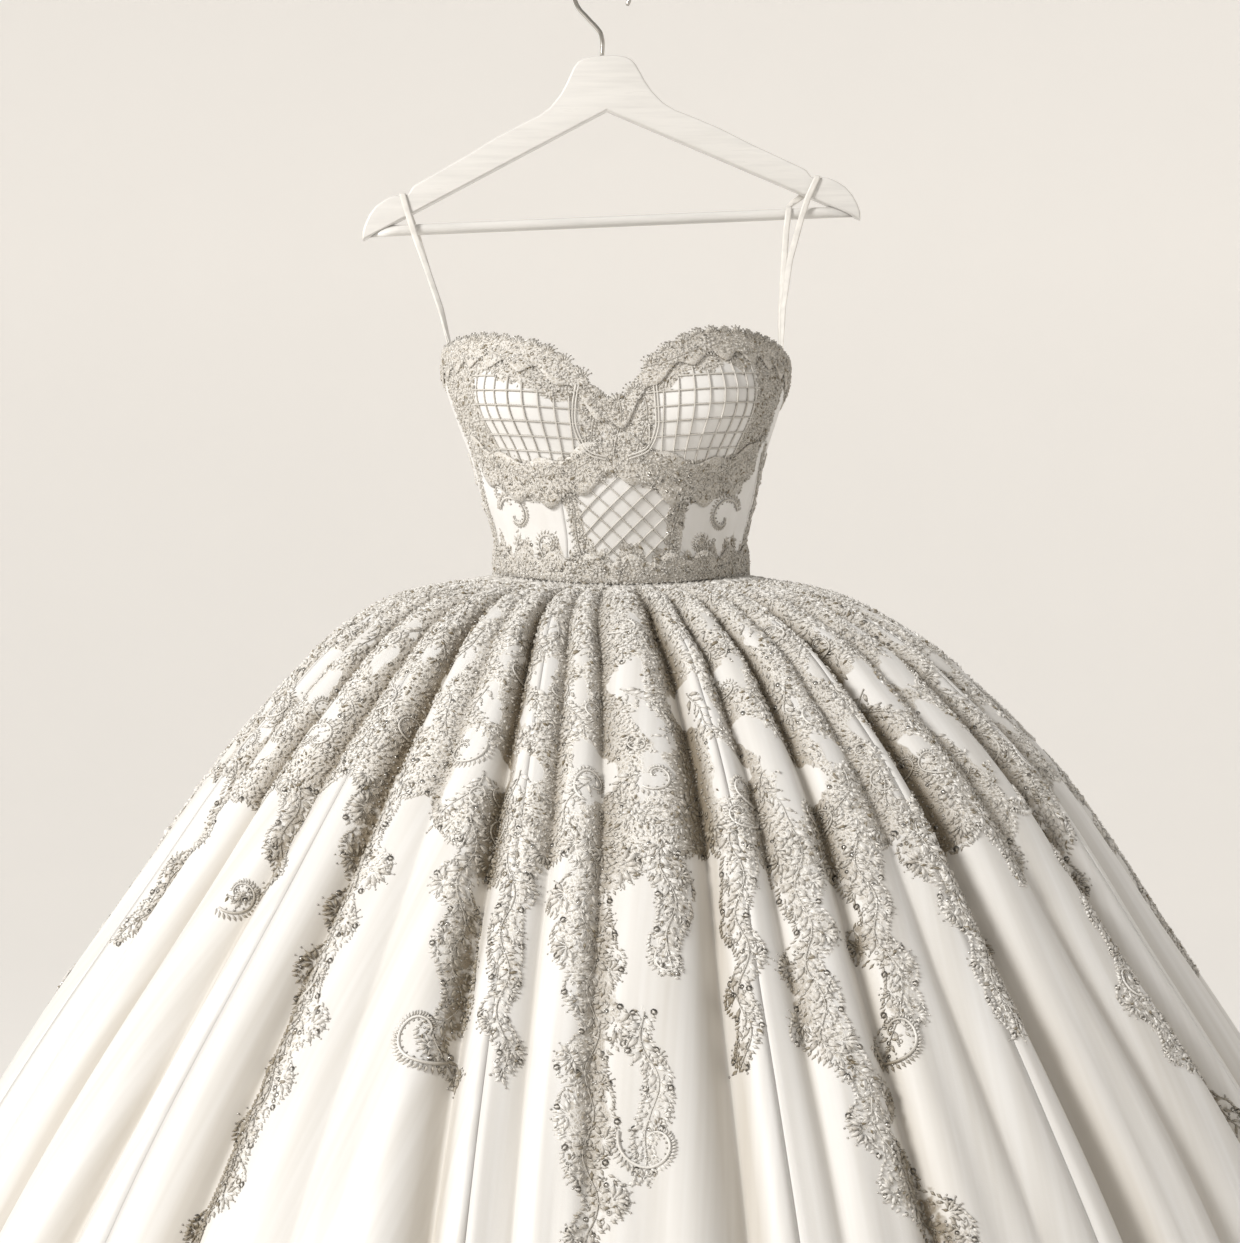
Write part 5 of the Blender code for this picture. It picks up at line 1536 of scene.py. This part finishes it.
def build_bands():
    """Grounds of the neckline lace with their scallops, of the lace under the bust and at the waist."""
    made = {}
    for node, first, last, scallops in NECK_LACES:
        phase = np.arange(scallops * 8 + 1) / 8
        a = first + (last - first) * phase / scallops
        edge = edge_down("neckline", a)
        top = edge - scallops_high(phase)
        bottom = edge + NECK_LACE_DEEP - 0.004 * np.cos(phase * math.pi)
        made[node] = band("ground_" + node, node, a, top, bottom, 7)
    a = np.linspace(-66.0, 66.0, 97)
    seam = edge_down("underbust", a)
    wave = np.sin(np.linspace(0, 16 * math.pi, 97))
    made["underbust_lace"] = band("ground_underbust_lace", "underbust_lace", a, seam - 0.012 - 0.003 * wave,
                                  seam + 0.022 + 0.005 * wave, 7)
    for node, first, last in (("waist_lace_left", -BACK_SEAM, -0.05), ("waist_lace_right", 0.05, BACK_SEAM)):
        a = np.linspace(first, last, 81)
        waist = edge_down("waist", a)
        wave = 0.004 * np.sin(np.linspace(0, 20 * math.pi, 81))
        made[node] = band("ground_" + node, node, a, waist - 0.024 - wave, waist - 0.0032, 5)
    return made


def build_placket():
    """Strip over the hidden zip at the middle of the back."""
    a = np.linspace(180.0 - 4.2, 180.0 + 4.2, 9)
    top = np.full(9, -NECKLINE[0, 1] + 0.0005)
    degrees, down, points, normals, uv = bodice_cloth(a, top, np.full(9, -WAIST_Z - 0.0035), 30)
    item = shell("zip_placket", points + normals * 0.0020, points + normals * 0.0009, uv,
                 {"cover": 0 * down, "painted_shade": 0 * down})
    item.data.materials.append(bodice_satin())
    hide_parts("back_placket")
    return item, float(along(points, 0)[-1].mean()), float(along(points, 1)[:, -1].mean())


def bodice_part_of(degrees, _down):
    """Number of the part of the bodice's lace that a point lies on: front, back left or back right."""
    degrees = wrapped(degrees)
    return np.where(np.abs(degrees) <= 92.0, 0, np.where(degrees < 0, 1, 2))


def lifted_bodice(degrees, down):
    """Bodice's face, raised by the lace ground where there is a band."""
    point, _, _, normal = frames(bodice_at, degrees, down)
    edge, waist, seam = (edge_down(kind, degrees) for kind in ("neckline", "waist", "underbust"))
    front = np.abs(wrapped(degrees)) < 66.0
    raised = rise(edge + 0.021 - down, 0.0, 0.002)
    raised = np.maximum(raised, rise(down - (waist - 0.026), 0.0, 0.002))
    raised = np.maximum(raised, np.where(front, rise(0.0175 - np.abs(down - seam - 0.005), 0.0, 0.002), 0.0))
    return point + normal * (raised * (BAND_LIFT + 0.0006))[..., None]


def build_bodice_lace():
    """Beaded lace on the bodice: scalloped edge, scrolls, vines on the strips, waist sprays and filling."""
    lace = bpy.context.scene.gown_lace
    # The chart carries the bodice's painted shade, which darkens the stitches.
    chart = Chart(lifted_bodice, *BODICE_REACH, 1441, 246, bodice_painted_shade)
    needle = Needle(chart, [Embroidery() for _ in range(3)], bodice_part_of, lace.seed + 11)
    rng = needle.rng
    for _, first, last, scallops in NECK_LACES:
        a = first + (last - first) * (np.arange(scallops) + 0.5) / scallops
        needle.fans(a, edge_down("neckline", a) + 0.0035, rng.uniform(0.0055, 0.0090, len(a)),
                    -0.5 * math.pi + rng.uniform(-0.4, 0.4, len(a)))
        phase = np.arange(scallops * 8 + 1) / 8
        a = first + (last - first) * phase / scallops
        needle.beads(a, edge_down("neckline", a) - scallops_high(phase), 0.0030, lace.bead, 0.0)
    for strip in BODICE_STRIPS:
        rows = np.array(strip)
        t = np.linspace(0, len(rows) - 1, 8 * len(rows))
        a = np.interp(t, np.arange(len(rows)), rows[:, 0]) + 1.4 * np.sin(2.4 * t)
        needle.vine(a, -np.interp(t, np.arange(len(rows)), rows[:, 1]), 0.0066)
    for path in CUP_CORDS:
        rows = np.array(path)
        at = np.linspace(0, len(rows) - 1, 40)
        a = smooth(np.arange(len(rows)), rows[:, 0], at)
        down = -smooth(np.arange(len(rows)), rows[:, 1], at)
        for shift in (-0.0012, 0.0012):
            needle.cord(a, down, 0.0008, shift=shift)
    for degree, height, radius, hand, start in BODICE_CURLS:
        needle.curl(degree, -height, 0.001 * radius, hand, start)
    a = np.arange(-174.0, 174.5, 3.4)
    down = edge_down("waist", a) - 0.004
    for lean in (-0.8, 0.0, 0.8):
        needle.spread("leaf", a + rng.uniform(-0.5, 0.5, len(a)), down, 0.0058, 0.5 * math.pi + lean, 0.0105,
                      0.0042, 0.0018, rng.uniform(0.7, 1.0, len(a)), 0.1)
    needle.blossoms(a[::3], down[::3] - 0.008, rng.uniform(0.0050, 0.0066, len(a[::3])))
    a, down = scattered(rng, bodice_at, np.arange(0.345, 0.562, 0.026), 0.028)
    pick = (bodice_lace_depth(a, down) > 0.005) & (down > edge_down("neckline", a) + 0.005)
    needle.blossoms(a[pick], down[pick], rng.uniform(0.0052, 0.0072, pick.sum()))
    a, down = scattered(rng, bodice_at, np.arange(0.340, 0.562, 0.87 * lace.bodice_gap), lace.bodice_gap)
    keep = bodice_lace_depth(a, down) > rng.uniform(-0.003, 0.003, len(a))
    keep &= (down > edge_down("neckline", a)) & (down < edge_down("waist", a) + 0.003)
    keep &= np.abs(wrapped(a)) < 175.0
    a, down = a[keep], down[keep]
    needle.fill(a, down, np.full(len(a), lace.bodice_gap), flow(a * BODICE_SPAN * 1.6, down * 1.6))
    made = []
    for name, layer in zip(("front", "back_left", "back_right"), needle.layers):
        item = layer.make("beaded_bodice_" + name)
        made.append(item)
    return made


def build_lattices():
    """Lattices on the cups and centre front: cords under rows of beads, a larger bead at each crossing."""
    lace = bpy.context.scene.gown_lace
    chart = Chart(bodice_at, *BODICE_REACH, 1081, 200)
    made = {}
    for name, middle, height, reach, pitch, turn, high, low in LATTICES:
        layer = Embroidery()
        needle = Needle(chart, [layer], lambda a, _d: np.zeros(len(a), int), lace.seed)
        turn, pitch = math.radians(turn), 0.001 * pitch

        def shown(a, down):
            return ((np.abs(a - middle) < reach) & (down > edge_down(high, a) + 0.010)
                    & (down < edge_down(low, a) - 0.002) & (bodice_lace_depth(a, down) < 0.003))

        def placed(x, y):
            x, y = x * math.cos(turn) - y * math.sin(turn), x * math.sin(turn) + y * math.cos(turn)
            return chart.laid(middle + 0 * x, -height + 0 * x, x, y)

        t = np.linspace(-0.09, 0.09, 150)
        for k in range(-8, 9):
            for x, y in ((t, k * pitch + 0 * t), (k * pitch + 0 * t, t)):
                a, down = placed(x, y)
                inside = np.flatnonzero(shown(a, down))
                for part in np.split(inside, np.flatnonzero(np.diff(inside) > 1) + 1):
                    if len(part) > 4:
                        needle.cord(a[part], down[part], 0.0008, 0.58, sides=3)
                        needle.beads(a[part], down[part], 0.0023, 0.0021, 0.35)
            line = pitch * np.arange(-8, 9)
            a, down = placed(k * pitch + 0 * line, line)
            good = shown(a, down)
            needle.sew("bead", a[good], down[good], 0.0, 0.0028, 0.0028, 0.0022, 0.75)
        item = layer.make("lattice_" + name)
        made[name] = item
    return made


# Ribbons, hanger and hook

def build_ribbons():
    """Two narrow ribbon loops from the side seams over the hanger's notches."""
    made = {}
    for name, table in (("left", LEFT_LOOP), ("right", RIGHT_LOOP)):
        run = run_along(table[:, :3])
        at = np.unique(np.concatenate([run, np.linspace(0.0, run[-1], 130)]))
        path = np.stack([np.interp(at, run, table[:, k]) for k in range(3)], axis=-1)
        turn = np.radians(np.interp(at, run, table[:, 3]))
        tangent = unit(np.gradient(path, axis=0))
        wide = np.stack([np.cos(turn), np.sin(turn), 0 * turn], axis=-1)
        wide = unit(wide - tangent * np.sum(wide * tangent, axis=-1, keepdims=True))
        thick = unit(np.cross(wide, tangent))
        part = np.linspace(-0.5, 0.5, 5)
        crown = 0.0002 * (1 - 4 * part * part)
        outer = path[None] + wide[None] * (RIBBON_WIDTH * part)[:, None, None]
        high = (RIBBON / 2 - 0.0002 + crown)[:, None, None]
        uv = np.stack(np.broadcast_arrays(RIBBON_WIDTH * part[:, None], at[None]), axis=-1)
        item = shell("ribbon_loop_" + name, outer + thick[None] * high, outer - thick[None] * high, uv)
        item.data.materials.append(ribbon_material())
        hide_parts("hanger_loop_" + name)
        made[name] = (item, float(run[-1]))
    return made


def hanger_place(across, down):
    """World x and z of points in the hanger's own frame."""
    x = HANGER_X + across * math.cos(HANGER_TILT) + down * math.sin(HANGER_TILT)
    z = HANGER_Z + across * math.sin(HANGER_TILT) - down * math.cos(HANGER_TILT)
    return x, z


def build_hanger():
    """Hanger's outline as a flat closed curve, given its thickness and rounded edges, and the round bar."""
    hanger = bpy.context.scene.gown_hanger
    curve = bpy.data.curves.new("hanger_outline", "CURVE")
    curve.dimensions = "2D"
    curve.fill_mode = "BOTH"
    curve.extrude = HANGER_THICK / 2 - hanger.edge
    curve.bevel_depth = hanger.edge
    curve.bevel_resolution = 4
    curve.offset = -hanger.edge
    outline = np.concatenate([HANGER_HALF, [[0.0, HANGER_APEX]], HANGER_HALF[:0:-1] * [-1, 1]])
    spline = curve.splines.new("POLY")
    spline.points.add(len(outline) - 1)
    x, z = hanger_place(outline[:, 0], outline[:, 1])
    flat = np.stack([x, z, 0 * x, 1 + 0 * x], axis=-1)
    spline.points.foreach_set("co", flat.ravel())
    spline.use_cyclic_u = True
    holder = in_scene("hanger_shape", curve)
    holder.rotation_euler = (math.pi / 2, 0.0, 0.0)
    bpy.context.view_layer.update()
    graph = bpy.context.evaluated_depsgraph_get()
    mesh = bpy.data.meshes.new_from_object(holder.evaluated_get(graph))
    mesh.transform(holder.matrix_world)
    bpy.data.objects.remove(holder)
    welded(mesh)
    mesh.polygons.foreach_set("use_smooth", np.ones(len(mesh.polygons), bool))
    mesh.set_sharp_from_angle(angle=math.radians(32))
    mesh.materials.clear()
    mesh.materials.append(wood_material())
    body = place_in_scene(mesh, "painted_hanger")
    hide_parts("hanger_body")
    tip_across, tip_down = HANGER_HALF[-1]
    slope = (tip_down - HANGER_APEX) / tip_across
    clear_of_arm = GAP * 1.2 / math.cos(math.atan(slope))
    turn = turns(40)
    level = BAR_DOWN + BAR_RADIUS * np.sin(turn)
    reach = (level - clear_of_arm - HANGER_APEX) / slope
    rows = []
    for part in np.linspace(-1.0, 1.0, 25):
        x, z = hanger_place(part * reach, level)
        rows.append(np.stack([x, BAR_RADIUS * np.cos(turn), z], axis=-1))
    item = tube_mesh("round_bar", np.array(rows), wood_material())
    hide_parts("trouser_bar")


def welded(mesh):
    """Joins doubled points and turns the faces outwards."""
    import bmesh
    work = bmesh.new()
    work.from_mesh(mesh)
    bmesh.ops.remove_doubles(work, verts=work.verts, dist=1e-6)
    bmesh.ops.recalc_face_normals(work, faces=work.faces)
    work.to_mesh(mesh)
    work.free()


def tube_mesh(name, rings, material):
    """Closed tube through rings of points, with a flat cap at each end."""
    n, sides = rings.shape[:2]
    quads = ring_quads(n, sides)
    faces = np.concatenate([quads.ravel(), np.arange(sides)[::-1], (n - 1) * sides + np.arange(sides)])
    corners = np.concatenate([np.full(len(quads), 4), [sides, sides]])
    mesh = fill_mesh(name, rings.reshape(-1, 3), faces, corners, np.arange(len(corners)) < len(quads))
    welded(mesh)
    mesh.materials.append(material)
    return place_in_scene(mesh, name)


def build_hook():
    """Wire of the hook: a circle over the rail, a smooth bend into the stem, and a rounded tip."""
    centre = WIRE_RADIUS - HOOK_RADIUS
    angle = np.radians(np.linspace(HOOK_END, HOOK_LEAVE, 70))
    path = [(HOOK_RADIUS * math.cos(a), centre + HOOK_RADIUS * math.sin(a)) for a in angle]
    path += list(HOOK_TAIL) + [(0.0, HANGER_Z + GAP)]
    path = np.array(path)
    run = run_along(path)
    at = np.linspace(0.0, run[-1], 150)
    xz = np.stack([smooth(run, path[:, 0], at), smooth(run, path[:, 1], at)], axis=-1)
    line = np.stack([xz[:, 0], 0 * at, xz[:, 1]], axis=-1)
    ahead = unit(np.gradient(line, axis=0))
    side = np.array([0.0, 1.0, 0.0])
    up = np.cross(ahead, side)
    turn = turns(24)
    tip = np.sqrt(np.clip(1 - (1 - np.clip(at / WIRE_RADIUS, 0, 1)) ** 2, 0.02, 1))
    ring = np.cos(turn)[None, :, None] * side + np.sin(turn)[None, :, None] * up[:, None]
    rings = line[:, None] + ring * (WIRE_RADIUS * tip)[:, None, None]
    item = tube_mesh("wire_hook", rings, metal_material())
    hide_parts("hook")


# Stage

def build_stage():
    """Pale studio: a flat floor that turns up far away and glows, more brightly behind the gown, soft lights
    from the left, and the camera.
    """
    stage = bpy.context.scene.gown_stage
    t = np.linspace(0.0, 1.0, 60)
    bend = np.clip((t - 0.45) / 0.30, 0.0, 1.0) * math.pi / 2
    reach = np.where(t < 0.45, 8.0 * t / 0.45, 8.0 + 3.0 * np.sin(bend))
    level = FLOOR_Z + 3.0 * (1 - np.cos(bend)) + 6.0 * np.clip((t - 0.75) / 0.25, 0.0, 1.0)
    turn = np.linspace(0.0, 2 * math.pi, STUDIO_SIDES + 1)[:-1]
    rings = np.stack([reach[:, None] * np.cos(turn), reach[:, None] * np.sin(turn) - 0.4,
                      np.repeat(level[:, None], STUDIO_SIDES, axis=1)], axis=-1)[1:]
    quads = ring_quads(len(rings), STUDIO_SIDES, turned=True)
    faces = np.concatenate([quads.ravel(), np.arange(STUDIO_SIDES)])
    corners = np.concatenate([np.full(len(quads), 4), [STUDIO_SIDES]])
    mesh = fill_mesh("studio_floor", rings.reshape(-1, 3), faces, corners)
    made, tree, shader = new_material("pale_floor")
    place = object_place(tree)
    depth = add_node(tree, "ShaderNodeSeparateXYZ", {"Vector": place}).outputs[1]
    # Painted light: the floor and the studio's walls glow, from 0.15 of the glow in front of the gown to full
    # glow behind it.
    glow = mixed(tree, ranged(tree, depth, -7.0, 3.0, 0.15, 1.0), (0.0, 0.0, 0.0), stage.floor)
    feed(tree, shader, {"Base Color": dimmed(tree, noise(tree, place, 2.0, 4.0), stage.floor, 0.97),
                        "Roughness": 0.9, "Emission Color": glow, "Emission Strength": stage.glow})
    mesh.materials.append(made)
    floor = in_scene("studio_floor", mesh)
    aim = (0.0, -0.25, -0.75)
    lamp("key_light", (-3.6, -2.9, 2.0), aim, 1.3, stage.key_power, DAYLIGHT)
    lamp("fill_light", (3.2, -3.4, -0.2), aim, 2.6, stage.fill_power, (1.0, 0.978, 0.948))
    world = bpy.data.worlds.new("studio_sky")
    world.use_nodes = True
    feed(world.node_tree, world.node_tree.nodes["Background"], {0: DAYLIGHT, 1: stage.sky})
    bpy.context.scene.world = world
    bpy.context.scene.view_settings.view_transform = "Standard"
    data = bpy.data.cameras.new("camera")
    data.sensor_width = SENSOR
    data.lens = SENSOR * stage.focal / PICTURE_LONG_SIDE
    data.clip_start = 0.05
    data.clip_end = 60.0
    camera = in_scene("camera", data)
    camera.location = stage.camera
    camera.rotation_euler = (math.pi / 2, 0.0, 0.0)
    bpy.context.scene.camera = camera


def lamp(name, place, aim, size, power, tint):
    """Soft square light at a place, turned to an aim."""
    from mathutils import Vector
    data = bpy.data.lights.new(name, "AREA")
    data.size = size
    data.energy = power
    data.color = tint
    item = in_scene(name, data)
    item.location = place
    item.rotation_euler = (Vector(aim) - Vector(place)).to_track_quat("-Z", "Y").to_euler()


# Operators

MADE = {}


class GOWN_OT_skirt(bpy.types.Operator):
    """Makes the eleven gores of the skirt"""
    bl_idname = "gown.skirt"
    bl_label = "Skirt gores"

    def execute(self, _context):
        MADE["gores"] = build_gores()
        return {"FINISHED"}


class GOWN_OT_skirt_lace(bpy.types.Operator):
    """Makes the beaded lace on the skirt, and works out the area of each gore's cut"""
    bl_idname = "gown.skirt_lace"
    bl_label = "Lace on the skirt"

    def execute(self, _context):
        laces = build_skirt_lace()
        for name, (item, hem) in MADE["gores"].items():
            cut_area = one_sided_area(item)
        return {"FINISHED"}


class GOWN_OT_bodice(bpy.types.Operator):
    """Makes the panels of the bodice, their lace, lattices and placket"""
    bl_idname = "gown.bodice"
    bl_label = "Bodice"

    def execute(self, _context):
        panels = build_bodice()
        bands = build_bands()
        placket, placket_wide, placket_long = build_placket()
        laces = build_bodice_lace()
        lattices = build_lattices()
        for name, (item, wide, tall) in panels.items():
            area = one_sided_area(item)
        return {"FINISHED"}


class GOWN_OT_ribbons(bpy.types.Operator):
    """Makes the two ribbon loops that hold the gown on the hanger"""
    bl_idname = "gown.ribbons"
    bl_label = "Ribbon loops"

    def execute(self, _context):
        for name, (item, run) in build_ribbons().items():
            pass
        return {"FINISHED"}


class GOWN_OT_hanger(bpy.types.Operator):
    """Makes the painted hanger, its bar and the wire hook"""
    bl_idname = "gown.hanger"
    bl_label = "Hanger and hook"

    def execute(self, _context):
        build_hanger()
        build_hook()
        return {"FINISHED"}


class GOWN_OT_stage(bpy.types.Operator):
    """Makes the floor, the lights and the camera"""
    bl_idname = "gown.stage"
    bl_label = "Stage"

    def execute(self, _context):
        build_stage()
        return {"FINISHED"}


OPERATORS = (GOWN_OT_stage, GOWN_OT_hanger, GOWN_OT_ribbons, GOWN_OT_bodice, GOWN_OT_skirt,
             GOWN_OT_skirt_lace)


class GOWN_PT_panel(bpy.types.Panel):
    """Lists the gown's sizes, colours and pieces"""
    bl_idname = "GOWN_PT_panel"
    bl_label = "Wedding gown"
    bl_space_type = "VIEW_3D"
    bl_region_type = "UI"
    bl_category = "Gown"

    def draw(self, context):
        for group in ("gown_cloth", "gown_lace", "gown_hanger", "gown_stage"):
            box = self.layout.box()
            values = getattr(context.scene, group)
            for key in values.__class__.__annotations__:
                box.prop(values, key)
        for operator in OPERATORS:
            self.layout.operator(operator.bl_idname)


GROUPS = {"gown_cloth": GownCloth, "gown_lace": GownLace, "gown_hanger": GownHanger, "gown_stage": GownStage}


def register():
    """Registers the classes and puts the sizes and colours on the scene."""
    for item in (*GROUPS.values(), *OPERATORS, GOWN_PT_panel):
        bpy.utils.register_class(item)
    for key, item in GROUPS.items():
        setattr(bpy.types.Scene, key, PointerProperty(type=item))


def unregister():
    """Takes away what register added."""
    for key in GROUPS:
        delattr(bpy.types.Scene, key)
    for item in (GOWN_PT_panel, *reversed(OPERATORS), *GROUPS.values()):
        bpy.utils.unregister_class(item)


def main():
    """Makes every piece in order."""
    register()
    for operator in OPERATORS:
        getattr(bpy.ops.gown, operator.bl_idname.split(".")[1])()


if __name__ == "__main__":
    main()
